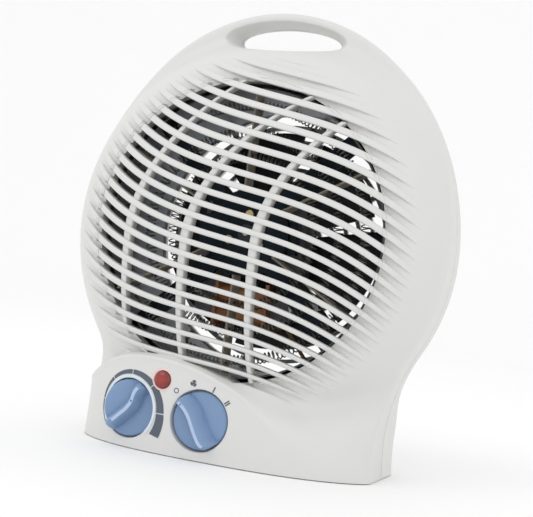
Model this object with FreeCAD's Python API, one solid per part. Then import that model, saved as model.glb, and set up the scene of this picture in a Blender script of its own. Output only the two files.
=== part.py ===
"""Fan convector heater, 255 mm tall, as an assembly of separate pieces.

Millimetres. +Z is up, the air outlet faces -Y, +X is to the viewer's right.
The origin is on the floor, at the middle of the heater's box.
"""
import FreeCAD, Part
import math
import os

from FreeCAD import Vector

os.makedirs("parts", exist_ok=True)

# ---------------------------------------------------------------- driving sizes
HEIGHT = 255.0          # floor to the top of the handle
HALF_DEPTH = 61.5       # middle of the outlet in front, rear edge of the foot behind
RADIUS = 111.0          # round front, half of the heater's width
CENTRE_Z = 125.0        # height of the outlet's centre
BASE_HALF_WIDTH = 86.0
WAIST_RADIUS = 110.0    # concave sides between the round front and the foot
WALL = 2.4              # moulded plastic wall
SPLIT_Y = 4.0           # joint plane between front and rear cover
FLOOR_GAP = 0.5         # the covers stop this far above the floor

RIM_Y = -2.0            # plane that the domed front rises from
DOME_RISE = 60.0
DOME_POWER = 3.1
DOME_LIMIT = 104.0      # radius past which the dome runs on straight
PLATE_RISE = 6.0        # flat crescent round the handle
PANEL_RISE = 53.0       # bulge of the foot, over the rim plane
PANEL_POWER = 2.6
PANEL_REACH = 92.0
PANEL_STEP = 3.0        # the control panel stands this much proud of the foot

REAR_RISE = 42.0        # domed back, over the joint plane
REAR_POWER = 3.2
REAR_PLATE_RISE = 5.0
HEEL_RISE = HALF_DEPTH - SPLIT_Y

OUTLET_RADIUS = 82.0
SLAT_DEPTH = 6.0
SLOT_HEIGHT = 4.0
SLOT_COUNT = 22
RIB_HALF_WIDTH = 2.6
RIBS = ((-6, -60), (42, -24), (74, 16))     # x at the top and in the middle of each rib
GRILLE_RADIUS = 83.5
GRILLE_SINK = 0.5       # the slatted disc lies this deep in the front

HANDLE_Z = 239.0
HANDLE_MOUTH = (35.5, 11.0)     # half width, half height at the covers' faces
HANDLE_THROAT = (30.5, 9.0)

KNOB_RADIUS = 15.2
KNOB_Z = 21.6
THERMOSTAT_X = -47.0
SWITCH_X = -3.0
KNOB_DISC = 4.0
GRIP_HEIGHT = 7.5
THERMOSTAT_TURN = -60.0  # where each ridge points at rest
SWITCH_TURN = 49.0
RECESS_RADIUS = 16.4
THERMOSTAT_FACE_Y = -48.5
SWITCH_FACE_Y = -53.0
RECESS_FLOOR = 2.4
SPINDLE_RADIUS = 3.0
LAMP_X, LAMP_Z = -26.5, 40.0
LAMP_RADIUS = 4.9

DUCT_RADIUS = 80.0
DUCT_FRONT, DUCT_BACK = -36.0, 33.0
INTAKE_RADIUS = 78.0
INTAKE_Y = (30.0, 60.0)
FAN_RADIUS = 64.0
FAN_Y = 20.0
BLADES = 6
SHAFT_RADIUS = 1.59
BUSH_BORE = 1.65
HUB_FACE_Y = -29.0
MOUNT_SCREW_CIRCLE = 10.6
MOUNT_SCREW_ANGLES = (85, 205, 325)
COIL_RADII = (70.0, 55.0, 41.0)
COIL_TUBE = 3.0
COIL_Y = -36.0
BOSSES = ((93, 165), (93, 85), (75, 24), (-93, 165), (-93, 85), (-75, 24))
DUCT_LUG_ANGLES = (40, 140, 220, 320)
SCREW_SHANK = 1.6
COVER_SEAT_Y = 14.0      # the cover screws' heads bear here, deep in the rear posts
PLATE_Z, PLATE_THICK = 2.5, 2.2
BASE_SCREWS = ((76, -10), (-76, -10), (74, 24), (-74, 24))
FEET = ((60, -24), (-60, -24), (58, 38), (-58, 38))
FOOT_RADIUS = 6.0
CORD_X, CORD_Z, CORD_HOLE_RADIUS = 0.0, 14.0, 5.5
TERMINAL_X = 52.0
MOTOR_WIRE = ((52, 8, 40), (34, -2, 60))        # runs of wire that pass through the duct
CUTOUT_WIRE = ((-44, -2, 50), (-36, -2, 66))


# ---------------------------------------------------------------- small helpers
def save(node, shape):
    """Write one piece as parts/NODE.step and print its volume."""
    shape.exportStep("parts/%s.step" % node)
    print("%-24s solids %2d  volume %10.1f" % (node, len(shape.Solids), shape.Volume))


def rod_y(radius, y0, y1, x=0.0, z=CENTRE_Z):
    """Cylinder along Y from y0 to y1."""
    return Part.makeCylinder(radius, y1 - y0, Vector(x, y0, z), Vector(0, 1, 0))


def rod_z(radius, z0, z1, x, y):
    """Cylinder along Z from z0 to z1."""
    return Part.makeCylinder(radius, z1 - z0, Vector(x, y, z0))


def tube_y(outer, inner, y0, y1, x=0.0, z=CENTRE_Z):
    """Ring along Y."""
    return rod_y(outer, y0, y1, x, z).cut(rod_y(inner, y0 - 1, y1 + 1, x, z))


def block(x0, x1, y0, y1, z0, z1):
    """Box between two corners."""
    return Part.makeBox(x1 - x0, y1 - y0, z1 - z0, Vector(x0, y0, z0))


def polar(radius, degrees, z=CENTRE_Z):
    """Point in the XZ plane, round the outlet's centre."""
    a = math.radians(degrees)
    return radius * math.cos(a), z + radius * math.sin(a)


def fuse_all(shapes):
    """One solid from many that touch or overlap."""
    return shapes[0].multiFuse(shapes[1:]).removeSplitter() if len(shapes) > 1 else shapes[0]


def group(shapes):
    """Identical loose pieces that share a node."""
    return Part.makeCompound(shapes)


def turned(profile, x=0.0, z=CENTRE_Z):
    """Revolve (radius, y) points about the Y line through x, z."""
    points = [Vector(x + r, y, z) for r, y in profile]
    face = Part.Face(Part.makePolygon(points + points[:1]))
    return face.revolve(Vector(x, 0, z), Vector(0, 1, 0), 360)


# ---------------------------------------------------------------- outer form
def smooth_max(a, b, width):
    """The larger of two heights, with the corner between them rounded."""
    h = min(max(0.5 + 0.5 * (a - b) / width, 0.0), 1.0)
    return b + (a - b) * h + width * h * (1.0 - h)


def dome_rise(r, peak=DOME_RISE, power=DOME_POWER):
    """Height of the domed front, or of the back, over its rim plane at radius r."""
    near = min(r, DOME_LIMIT) / RADIUS
    rise = peak * math.sqrt(1.0 - near ** power)
    slope = peak ** 2 * power * near ** (power - 1) / (2 * RADIUS * rise)
    return rise - slope * max(0.0, r - DOME_LIMIT)


def panel_rise(x, peak=PANEL_RISE):
    """Bulge of the foot in plan, in front or behind."""
    near = min(abs(x) / PANEL_REACH, 0.98)
    return peak * math.sqrt(1.0 - near ** PANEL_POWER)


def fade_up(z, top, run):
    """1 low on the body, 0 above top, with a smooth run between."""
    t = min(max((top - z) / run, 0.0), 1.0)
    return t * t * (3.0 - 2.0 * t)


def front_y(x, z):
    """The front face of the heater, control panel apart."""
    rise = smooth_max(dome_rise(math.hypot(x, z - CENTRE_Z)), PLATE_RISE, 8.0)
    foot = (panel_rise(x) - PANEL_STEP) * fade_up(z, 76.0, 60.0)
    return RIM_Y - smooth_max(rise, foot, 12.0)


def rear_y(x, z):
    """The rear face of the heater: a shallow dome that runs out into the heel."""
    rise = dome_rise(math.hypot(x, z - CENTRE_Z), REAR_RISE, REAR_POWER)
    heel = panel_rise(x, HEEL_RISE) * fade_up(z, 70.0, 45.0)
    return SPLIT_Y + smooth_max(smooth_max(rise, REAR_PLATE_RISE, 8.0), heel, 12.0)


def outline_face(inset=0.0, floor=0.0, y=0.0):
    """Front view of the body: ellipse over circle, concave waist, flat foot."""
    r = RADIUS - inset
    top = HEIGHT - CENTRE_Z - inset
    waist = WAIST_RADIUS + inset
    half = BASE_HALF_WIDTH - inset
    reach = math.hypot(half, CENTRE_Z)
    along = ((r + waist) ** 2 - waist ** 2 + reach ** 2) / (2.0 * reach)
    across = math.sqrt((r + waist) ** 2 - along ** 2)
    ux, uz = half / reach, -CENTRE_Z / reach
    cx = ux * along - uz * across
    cz = CENTRE_Z + uz * along + ux * across
    tx = cx * r / (r + waist)
    tz = CENTRE_Z + (cz - CENTRE_Z) * r / (r + waist)
    mid = math.atan2(cz - tz, cx - tx) + math.atan2(cz, cx - half)
    mx, mz = cx - waist * math.cos(mid / 2), cz - waist * math.sin(mid / 2)
    low = math.atan2(CENTRE_Z - tz, tx) / 2

    def p(px, pz):
        return Vector(px, y, pz)

    crown = Part.Ellipse(p(0, CENTRE_Z + top), p(r, CENTRE_Z), p(0, CENTRE_Z))
    edges = []
    for side in (1, -1):
        edges.append(Part.Arc(p(side * r, CENTRE_Z),
                              p(side * r * math.cos(low), CENTRE_Z - r * math.sin(low)),
                              p(side * tx, tz)).toShape())
        edges.append(Part.Arc(p(side * tx, tz), p(side * mx, mz), p(side * half, 0)).toShape())
        if floor < 0:
            edges.append(Part.makeLine(p(side * half, 0), p(side * half, floor)))
    edges.append(Part.makeLine(p(-half, floor), p(half, floor)))
    ends = sorted((crown.parameter(p(r, CENTRE_Z)), crown.parameter(p(-r, CENTRE_Z))))
    arc = crown.toShape(ends[0], ends[1])
    if arc.valueAt((ends[0] + ends[1]) / 2).z < CENTRE_Z:
        arc = crown.toShape(ends[1], ends[0] + 2 * math.pi)
    edges.append(arc)
    return Part.Face(Part.Wire(Part.__sortEdges__(edges)))


def outline_prism(y0, y1, inset=0.0, floor=0.0):
    """The outline drawn out from y0 to y1."""
    return outline_face(inset, floor, y0).extrude(Vector(0, y1 - y0, 0))


def body_block(face, inward):
    """Everything between a face y = face(x, z) and the joint plane; inward is +1 or -1."""
    rows = []
    for i in range(31):
        x = -120.0 + 8.0 * i
        rows.append([Vector(x, face(x, -20.0 + 8.0 * j), -20.0 + 8.0 * j) for j in range(37)])
    surface = Part.BSplineSurface()
    surface.interpolate(rows)
    solid = surface.toShape().extrude(Vector(0, 200 * inward, 0))
    near, far = sorted((SPLIT_Y, SPLIT_Y - 104 * inward))
    return solid.common(block(-119, 119, near, far, -19, 263))


def panel_lobe(inset=0.0):
    """Control panel: a lobe that sweeps down to the right corner of the foot."""
    floor = -20.0 if inset else 0.0
    reach = PANEL_REACH - inset
    steps = 24
    points = []
    for i in range(steps + 1):
        x = reach * 0.975 * math.sin(math.pi * (i / steps - 0.5))
        points.append(Vector(x, RIM_Y + inset - panel_rise(x * PANEL_REACH / reach), floor))
    plan = Part.BSplineCurve()
    plan.interpolate(points)
    back = [Vector(points[-1].x, SPLIT_Y, floor), Vector(points[0].x, SPLIT_Y, floor)]
    wire = Part.Wire([plan.toShape(), Part.makeLine(points[-1], back[0]),
                      Part.makeLine(back[0], back[1]), Part.makeLine(back[1], points[0])])
    bulge = Part.Face(wire).extrude(Vector(0, 0, 120))
    crest = Part.BSplineCurve()
    crest.interpolate([Vector(-100, -90, 22 - inset), Vector(-80, -90, 38.5 - inset),
                       Vector(-60, -90, 49.5 - inset), Vector(-36, -90, 53 - inset),
                       Vector(0, -90, 47.5 - inset), Vector(22, -90, 38.5 - inset),
                       Vector(46, -90, 21 - inset), Vector(76, -90, 5 - inset),
                       Vector(100, -90, 3 - inset)])
    ends = [Vector(100, -90, floor - 1), Vector(-100, -90, floor - 1)]
    wire = Part.Wire([crest.toShape(), Part.makeLine(Vector(100, -90, 3 - inset), ends[0]),
                      Part.makeLine(ends[0], ends[1]),
                      Part.makeLine(ends[1], Vector(-100, -90, 22 - inset))])
    return Part.Face(wire).extrude(Vector(0, 100, 0)).common(bulge)


def handle_tool(grow, y_front, y_back):
    """Hand slot: a dished mouth, a straight throat, and a dished rear mouth."""
    def ring(size, y):
        a, b = size[0] + grow, size[1] + grow
        curve = Part.Ellipse(Vector(a, y, HANDLE_Z), Vector(0, y, HANDLE_Z + b),
                             Vector(0, y, HANDLE_Z))
        return Part.Wire(curve.toShape())
    wide = [s * 1.12 for s in HANDLE_MOUTH]
    front = Part.makeLoft([ring(wide, y_front), ring(HANDLE_MOUTH, -9.0), ring(HANDLE_THROAT, 1.0)],
                          True, True)
    throat = Part.makeLoft([ring(HANDLE_THROAT, 1.0), ring(HANDLE_THROAT, 6.0)], True, True)
    rear = Part.makeLoft([ring(HANDLE_THROAT, 6.0), ring(HANDLE_MOUTH, 14.0), ring(wide, y_back)],
                         True, True)
    return front.fuse(throat).fuse(rear)


# ---------------------------------------------------------------- grille
def slot_height(k, x):
    """Height of the middle of slot k at x: a cubic that turns over up the grille."""
    v = (k - 10.5) / 10.5
    t = x / 80.0
    middle = 54.8 + 6.45 * k + 0.034 * k * k
    return middle + (-13.2 - 4.6 * v) * t + (1.8 + 10.2 * v) * t * t - 13.0 * t ** 3


def slot_tool(k):
    """One slot between two slats, drawn through the front."""
    half = SLOT_HEIGHT / 2
    xs = [-88.0 + 16.0 * i for i in range(12)]
    curves = []
    for offset in (half, -half):
        curve = Part.BSplineCurve()
        curve.interpolate([Vector(x, -80, slot_height(k, x) + offset) for x in xs])
        curves.append(curve)
    ends = [[c.StartPoint, c.EndPoint] for c in curves]
    wire = Part.Wire([curves[0].toShape(), Part.makeLine(ends[0][1], ends[1][1]),
                      curves[1].toShape(), Part.makeLine(ends[1][0], ends[0][0])])
    return Part.Face(wire).extrude(Vector(0, 70, 0))


def rib_tool(top_x, middle_x):
    """One upright rib behind the slats, bowed to the left."""
    zs = [CENTRE_Z + OUTLET_RADIUS * (i / 4.0 - 1.0) for i in range(9)]

    def bow(z):
        t = (z - 115.0) / 92.0
        return middle_x + (top_x - middle_x) * (t * t if t > 0 else 0.12 * t * t)

    curves = []
    for offset in (RIB_HALF_WIDTH, -RIB_HALF_WIDTH):
        curve = Part.BSplineCurve()
        curve.interpolate([Vector(bow(z) + offset * (1.0 - 0.6 * abs(z - CENTRE_Z) / 90.0), -80, z)
                           for z in zs])
        curves.append(curve)
    wire = Part.Wire([curves[0].toShape(),
                      Part.makeLine(curves[0].EndPoint, curves[1].EndPoint),
                      curves[1].toShape(),
                      Part.makeLine(curves[1].StartPoint, curves[0].StartPoint)])
    return Part.Face(wire).extrude(Vector(0, 70, 0))


# ---------------------------------------------------------------- covers
def front_solid(inset=0.0, depth=0.0):
    """Front half of the body as a full block; inset and depth give its inside."""
    floor = -20.0 if inset else 0.0
    prism = outline_prism(-100, SPLIT_Y, inset, floor)
    body = body_block(lambda x, z: front_y(x, z) + depth, 1)
    return body.common(prism).fuse(panel_lobe(inset).common(prism))


def rear_solid(inset=0.0, depth=0.0):
    """Rear half of the body as a full block; inset and depth give its inside."""
    prism = outline_prism(SPLIT_Y, 100, inset, -20.0 if inset else 0.0)
    return body_block(lambda x, z: rear_y(x, z) - depth, -1).common(prism)


def grille_slots():
    """All the slots of the outlet, ended by the outlet's circle."""
    disc = rod_y(OUTLET_RADIUS, -80, -10)
    return [slot_tool(k).common(disc) for k in range(-1, SLOT_COUNT)]


def control_recess(x, face_y):
    """Cup that a knob sits in: the wall and floor, and the hole through them."""
    floor_y = face_y + KNOB_DISC + 0.5
    cup = rod_y(RECESS_RADIUS + 2.0, -80, floor_y + RECESS_FLOOR, x, KNOB_Z)
    hole = rod_y(RECESS_RADIUS, -80, floor_y, x, KNOB_Z)
    hole = hole.fuse(rod_y(SPINDLE_RADIUS + 0.6, -80, 0, x, KNOB_Z))
    for side in (-1, 1):
        hole = hole.fuse(rod_y(SCREW_SHANK, -80, 0, x + side * 9.5, KNOB_Z))
        hole = hole.fuse(rod_y(2.8, -80, floor_y + 1.2, x + side * 9.5, KNOB_Z))
    return cup, hole


def dome_slab(radius, front, back):
    """Domed disc that follows the front, between two depths behind it."""
    faces = []
    for depth in (front, back):
        curve = Part.BSplineCurve()
        curve.interpolate([Vector(r, RIM_Y - dome_rise(r) + depth, CENTRE_Z)
                           for r in (radius * i / 10 for i in range(11))])
        faces.append(curve)
    edges = [faces[0].toShape(), Part.makeLine(faces[0].EndPoint, faces[1].EndPoint),
             faces[1].toShape(), Part.makeLine(faces[1].StartPoint, faces[0].StartPoint)]
    return Part.Face(Part.Wire(edges)).revolve(Vector(0, 0, CENTRE_Z), Vector(0, 1, 0), 360)


def front_grille():
    """Slats in one domed disc, and the ribs that run behind them."""
    disc = dome_slab(GRILLE_RADIUS, GRILLE_SINK, SLAT_DEPTH).cut(Part.makeCompound(grille_slots()))
    band = dome_slab(OUTLET_RADIUS + 0.5, 2.5, SLAT_DEPTH + 2.5)
    ribs = [band.common(rib_tool(top, middle)) for top, middle in RIBS]
    return fuse_all([disc] + ribs)


def front_cover():
    """Front half: grille, hand slot, knob recesses and screw posts in one moulding."""
    outer, lobe = front_solid(), panel_lobe()
    shell = outer.cut(front_solid(WALL, 3.2)).cut(rod_y(GRILLE_RADIUS, -80, -20).cut(lobe))
    posts = [rod_y(4.2, -80, SPLIT_Y, x, z) for x, z in BOSSES]
    posts += [rod_y(3.6, -80, -20, *polar(88.5, angle)) for angle in DUCT_LUG_ANGLES]
    posts += [rod_z(4.5, 4.7, 20, x, y) for x, y in BASE_SCREWS if y < SPLIT_Y]
    posts = [post.common(outer) for post in posts]
    cups, holes = zip(control_recess(THERMOSTAT_X, THERMOSTAT_FACE_Y),
                      control_recess(SWITCH_X, SWITCH_FACE_Y))
    sleeve = handle_tool(WALL, -50, 60).common(outer)
    shell = fuse_all([shell, sleeve] + posts + [cup.common(outer) for cup in cups])
    shell = shell.fuse(front_grille().cut(lobe))
    cuts = list(holes) + [handle_tool(0, -50, 60), rod_y(LAMP_RADIUS, -80, -40, LAMP_X, LAMP_Z),
                          block(-120, 120, -90, 70, -30, FLOOR_GAP)]
    cuts += [rod_y(SCREW_SHANK, -18, SPLIT_Y + 1, x, z) for x, z in BOSSES]
    cuts += [rod_y(SCREW_SHANK, -32, -19, *polar(88.5, a)) for a in DUCT_LUG_ANGLES]
    cuts += [rod_z(SCREW_SHANK, 4, 16, x, y) for x, y in BASE_SCREWS if y < SPLIT_Y]
    return shell.cut(Part.makeCompound(cuts))


def intake_openings():
    """The gaps of the rear intake: everything in the circle but rings and spokes."""
    y0, y1 = INTAKE_Y
    disc = rod_y(INTAKE_RADIUS, y0, y1)
    bars = [rod_y(13, y0 - 1, y1 + 1)]
    radius = 21.0
    while radius < INTAKE_RADIUS:
        bars.append(tube_y(radius + 1.2, radius - 1.2, y0 - 1, y1 + 1))
        radius += 8.4
    for i in range(8):
        spoke = block(-1.5, 1.5, y0 - 1, y1 + 1, CENTRE_Z, CENTRE_Z + INTAKE_RADIUS + 5)
        spoke.rotate(Vector(0, 0, CENTRE_Z), Vector(0, 1, 0), 45 * i + 12)
        bars.append(spoke)
    return disc.cut(Part.makeCompound(bars))


def rear_cover():
    """Rear half: round intake, hand slot, heel and deep screw posts."""
    outer = rear_solid()
    shell = outer.cut(rear_solid(WALL, 3.2)).cut(intake_openings())
    posts = [rod_y(5.2, SPLIT_Y, HALF_DEPTH, x, z).common(outer) for x, z in BOSSES]
    posts += [rod_z(4.5, 4.7, 20, x, y).common(outer) for x, y in BASE_SCREWS if y > SPLIT_Y]
    sleeve = handle_tool(WALL, -50, 60).common(outer)
    shell = fuse_all([shell, sleeve] + posts)
    cuts = [handle_tool(0, -50, 60), block(-120, 120, -90, 70, -30, FLOOR_GAP),
            rod_y(CORD_HOLE_RADIUS, 50, 70, CORD_X, CORD_Z)]
    for x, z in BOSSES:
        cuts.append(rod_y(SCREW_SHANK + 0.2, SPLIT_Y - 1, COVER_SEAT_Y, x, z))
        cuts.append(rod_y(3.7, COVER_SEAT_Y, HALF_DEPTH + 5, x, z))
    cuts += [rod_z(SCREW_SHANK, 4, 16, x, y) for x, y in BASE_SCREWS if y > SPLIT_Y]
    return shell.cut(Part.makeCompound(cuts))


def base_plate():
    """Cover under the foot, let in between the walls."""
    inside = front_solid(WALL + 0.1, 3.3).fuse(rear_solid(WALL + 0.1, 3.3))
    plate = inside.common(block(-120, 120, -90, 90, PLATE_Z, PLATE_Z + PLATE_THICK))
    holes = [rod_z(SCREW_SHANK + 0.2, 0, 6, x, y) for x, y in BASE_SCREWS]
    slots = [block(x - 1.5, x + 1.5, 5, 35, 0, 6) for x in range(-24, 25, 8)]
    cups = [rod_y(RECESS_RADIUS + 2.2, -90, face_y + KNOB_DISC + RECESS_FLOOR + 0.8, x, KNOB_Z)
            for x, face_y in ((THERMOSTAT_X, THERMOSTAT_FACE_Y), (SWITCH_X, SWITCH_FACE_Y))]
    for cup in cups:
        plate = plate.cut(cup)
    return plate.cut(Part.makeCompound(holes + slots))


def rubber_feet():
    """Four round feet under the base plate."""
    feet = []
    for x, y in FEET:
        foot = rod_z(FOOT_RADIUS, 0, PLATE_Z, x, y)
        rim = [e for e in foot.Edges if e.BoundBox.ZMax < 0.01]
        feet.append(foot.makeFillet(0.8, rim))
    return group(feet)


# ---------------------------------------------------------------- controls
def grip(face_y, x, turn, wave):
    """S-shaped finger ridge across a knob, standing GRIP_HEIGHT over its disc."""
    steps = [i / 8.0 for i in range(-8, 9)]
    curves = []
    for offset in (4.0, -4.0):
        curve = Part.BSplineCurve()
        curve.interpolate([Vector(x + 15.0 * t, 0, KNOB_Z + offset + wave * math.sin(math.pi * t))
                           for t in steps])
        curves.append(curve)
    wire = Part.Wire([curves[0].toShape(), Part.makeLine(curves[0].EndPoint, curves[1].EndPoint),
                      curves[1].toShape(),
                      Part.makeLine(curves[1].StartPoint, curves[0].StartPoint)])
    ridge = Part.Face(wire).extrude(Vector(0, -GRIP_HEIGHT, 0))
    ridge.translate(Vector(0, face_y, 0))
    ridge.rotate(Vector(x, 0, KNOB_Z), Vector(0, 1, 0), turn)
    return ridge.common(rod_y(KNOB_RADIUS, face_y - GRIP_HEIGHT, face_y, x, KNOB_Z))


def knob(x, face_y, turn, wave):
    """Round knob with its finger ridge and the socket for its spindle."""
    disc = rod_y(KNOB_RADIUS, face_y, face_y + KNOB_DISC, x, KNOB_Z)
    disc = disc.cut(tube_y(13.4, 5.5, face_y + 2.0, face_y + KNOB_DISC + 1, x, KNOB_Z))
    disc = disc.fuse(grip(face_y, x, turn, wave))
    return disc.cut(rod_y(SPINDLE_RADIUS, face_y + 1.0, face_y + KNOB_DISC + 1, x, KNOB_Z))


def spindle(x, face_y, length):
    """Steel spindle from the knob's socket back into its control."""
    return rod_y(SPINDLE_RADIUS, face_y + 1.0, face_y + length, x, KNOB_Z)


def control_body(x, face_y, half_width, half_height, depth):
    """Moulded control behind a recess, with the bore for its spindle."""
    front = face_y + KNOB_DISC + 0.5 + RECESS_FLOOR
    body = block(x - half_width, x + half_width, front, front + depth,
                 KNOB_Z - half_height, KNOB_Z + half_height)
    body = body.makeFillet(2.0, [e for e in body.Edges if e.BoundBox.YLength > depth - 0.1])
    holes = [rod_y(SPINDLE_RADIUS + 0.06, front - 1, face_y + 20.0, x, KNOB_Z)]
    holes += [rod_y(SCREW_SHANK, front - 1, front + 6, x + side * 9.5, KNOB_Z) for side in (-1, 1)]
    return body.cut(Part.makeCompound(holes))


def thermostat_bimetal():
    """Bimetal strip and contact leaf on the back of the room thermostat."""
    back = THERMOSTAT_FACE_Y + KNOB_DISC + 0.5 + RECESS_FLOOR + 12.0
    lower = block(THERMOSTAT_X - 13, THERMOSTAT_X - 5, back, back + 3, KNOB_Z - 4, KNOB_Z + 4)
    strip = block(THERMOSTAT_X - 13, THERMOSTAT_X + 16, back + 3, back + 3.8, KNOB_Z - 4, KNOB_Z + 4)
    tip = rod_y(2.0, back + 1.6, back + 3, THERMOSTAT_X + 12, KNOB_Z)
    return fuse_all([lower, strip, tip])


def switch_terminals():
    """Five blade terminals on the back of the rotary switch."""
    back = SWITCH_FACE_Y + KNOB_DISC + 0.5 + RECESS_FLOOR + 17.0
    blades = []
    for i in range(5):
        x, z = polar(9.0, 90 + 72 * i, KNOB_Z)
        blades.append(block(SWITCH_X + x - 0.4, SWITCH_X + x + 0.4, back, back + 8, z - 2.4, z + 2.4))
    return group(blades)


def control_screws():
    """Two countersunk screws for each control, hidden under its knob."""
    screws = []
    for x, face_y in ((THERMOSTAT_X, THERMOSTAT_FACE_Y), (SWITCH_X, SWITCH_FACE_Y)):
        floor_y = face_y + KNOB_DISC + 0.5
        for side in (-1, 1):
            head = rod_y(2.8, floor_y, floor_y + 1.2, x + side * 9.5, KNOB_Z)
            shank = rod_y(SCREW_SHANK, floor_y + 1.2, floor_y + 8, x + side * 9.5, KNOB_Z)
            screws.append(head.fuse(shank))
    return group(screws)


def pilot_lamp_lens():
    """Red domed lens with a collar behind the panel."""
    front = RIM_Y - panel_rise(LAMP_X)
    dome = Part.makeSphere(6.2, Vector(LAMP_X, front + 3.2, LAMP_Z))
    lens = dome.common(rod_y(LAMP_RADIUS, front - 6, front + 0.5, LAMP_X, LAMP_Z))
    lens = lens.fuse(rod_y(LAMP_RADIUS, front - 0.5, front + 6, LAMP_X, LAMP_Z))
    return lens.cut(rod_y(LAMP_RADIUS - 1.2, front + 0.6, front + 7, LAMP_X, LAMP_Z))


def neon_lamp():
    """Small glow lamp with its two leads, inside the lens."""
    front = RIM_Y - panel_rise(LAMP_X)
    bulb = rod_y(2.2, front + 1.5, front + 10, LAMP_X, LAMP_Z)
    leads = [rod_y(0.4, front + 10, front + 20, LAMP_X + side, LAMP_Z) for side in (-1.2, 1.2)]
    return fuse_all([bulb] + leads)


# ---------------------------------------------------------------- air path
def air_duct():
    """Sheet-metal ring round heater and fan, with four fixing lugs."""
    ring = tube_y(DUCT_RADIUS, DUCT_RADIUS - 1.0, DUCT_FRONT, DUCT_BACK)
    lugs = []
    for angle in DUCT_LUG_ANGLES:
        lug = block(DUCT_RADIUS - 0.5, 92.5, -20, -18.8, CENTRE_Z - 5, CENTRE_Z + 5)
        lug.rotate(Vector(0, 0, CENTRE_Z), Vector(0, 1, 0), -angle)
        lugs.append(lug)
    duct = fuse_all([ring] + lugs)
    holes = [rod_y(SCREW_SHANK + 0.2, -22, -17, *polar(88.5, a)) for a in DUCT_LUG_ANGLES]
    for start, end in (MOTOR_WIRE, CUTOUT_WIRE):
        way = Vector(*end) - Vector(*start)
        holes.append(Part.makeCylinder(2.6, way.Length, Vector(*start), way))
    return duct.cut(Part.makeCompound(holes))


def heating_coils():
    """Three turns of coiled resistance wire, each as the round bundle that it fills."""
    return group([Part.makeTorus(r, COIL_TUBE, Vector(0, COIL_Y, CENTRE_Z), Vector(0, 1, 0))
                  for r in COIL_RADII])


def mica_supports():
    """Six radial mica boards that carry the coils in round holes."""
    boards = []
    for i in range(6):
        board = block(24, DUCT_RADIUS - 1.0, -41, -30, CENTRE_Z - 0.5, CENTRE_Z + 0.5)
        board.rotate(Vector(0, 0, CENTRE_Z), Vector(0, 1, 0), 60 * i + 30)
        boards.append(board.common(rod_y(DUCT_RADIUS - 1.0, -60, 0)).cut(heating_coils()))
    return group(boards)


def motor_bracket():
    """Spider in the duct: round plate in front of the motor and four arms."""
    parts = [rod_y(24.5, HUB_FACE_Y, HUB_FACE_Y + 2)]
    for i in range(4):
        arm = block(0, DUCT_RADIUS, HUB_FACE_Y, HUB_FACE_Y + 2, CENTRE_Z - 5, CENTRE_Z + 5)
        arm.rotate(Vector(0, 0, CENTRE_Z), Vector(0, 1, 0), 90 * i + 45)
        parts.append(arm)
    spider = fuse_all(parts).common(rod_y(DUCT_RADIUS - 1.0, -60, 0))
    holes = [rod_y(5.2, -40, 0)]
    holes += [rod_y(SCREW_SHANK, -40, 0, *polar(MOUNT_SCREW_CIRCLE, a)) for a in MOUNT_SCREW_ANGLES]
    return spider.cut(Part.makeCompound(holes))


def small_screw(x, z, head_y, shank_end, head_radius=2.9):
    """Pan-head screw whose head sits in front of head_y."""
    return rod_y(head_radius, head_y - 2.0, head_y, x, z).fuse(
        rod_y(SCREW_SHANK, head_y, shank_end, x, z))


def motor_mount_screws():
    """Three screws that hold the motor to its spider."""
    return group([small_screw(*polar(MOUNT_SCREW_CIRCLE, a), HUB_FACE_Y, HUB_FACE_Y + 6, 2.3)
                  for a in MOUNT_SCREW_ANGLES])


def duct_screws():
    """Four screws from behind the duct's lugs into the front cover's posts."""
    return group([rod_y(3.0, -18.8, -16.8, *polar(88.5, a)).fuse(
        rod_y(SCREW_SHANK, -31, -18.8, *polar(88.5, a))) for a in DUCT_LUG_ANGLES])


def cover_screws():
    """Six screws from the rear that pull the covers together."""
    return group([rod_y(3.1, COVER_SEAT_Y, COVER_SEAT_Y + 2.4, x, z).fuse(
        rod_y(SCREW_SHANK, -17, COVER_SEAT_Y, x, z))
                  for x, z in BOSSES])


def base_screws():
    """Four screws up through the base plate."""
    return group([rod_z(3.0, 0.8, PLATE_Z, x, y).fuse(rod_z(SCREW_SHANK, PLATE_Z, 15, x, y))
                  for x, y in BASE_SCREWS])


# ---------------------------------------------------------------- motor and fan
def stator_core():
    """Laminated frame of the shaded-pole motor, with the rotor's bore."""
    outer = block(-30, 30, -18, 0, CENTRE_Z - 46, CENTRE_Z + 18)
    window = block(-18, 18, -19, 1, CENTRE_Z - 34, CENTRE_Z - 18)
    core = outer.cut(window).cut(rod_y(13.3, -19, 1))
    return core.makeFillet(4.0, [e for e in core.Edges if e.BoundBox.YLength > 17
                                 and abs(abs(e.BoundBox.Center.x) - 30) < 0.1])


def motor_coil():
    """Wound bobbin round the lower limb of the core."""
    z0, z1 = CENTRE_Z - 51, CENTRE_Z - 29
    coil = block(-14, 14, -23, 5, z0, z1)
    coil = coil.makeFillet(4.0, [e for e in coil.Edges if e.BoundBox.XLength > 27])
    for x in (-16, 14):
        coil = coil.fuse(block(x, x + 2, -25, 7, z0 - 2, z1 + 2))
    return coil.cut(block(-17, 17, -18, 0, CENTRE_Z - 46, CENTRE_Z - 34))


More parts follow.
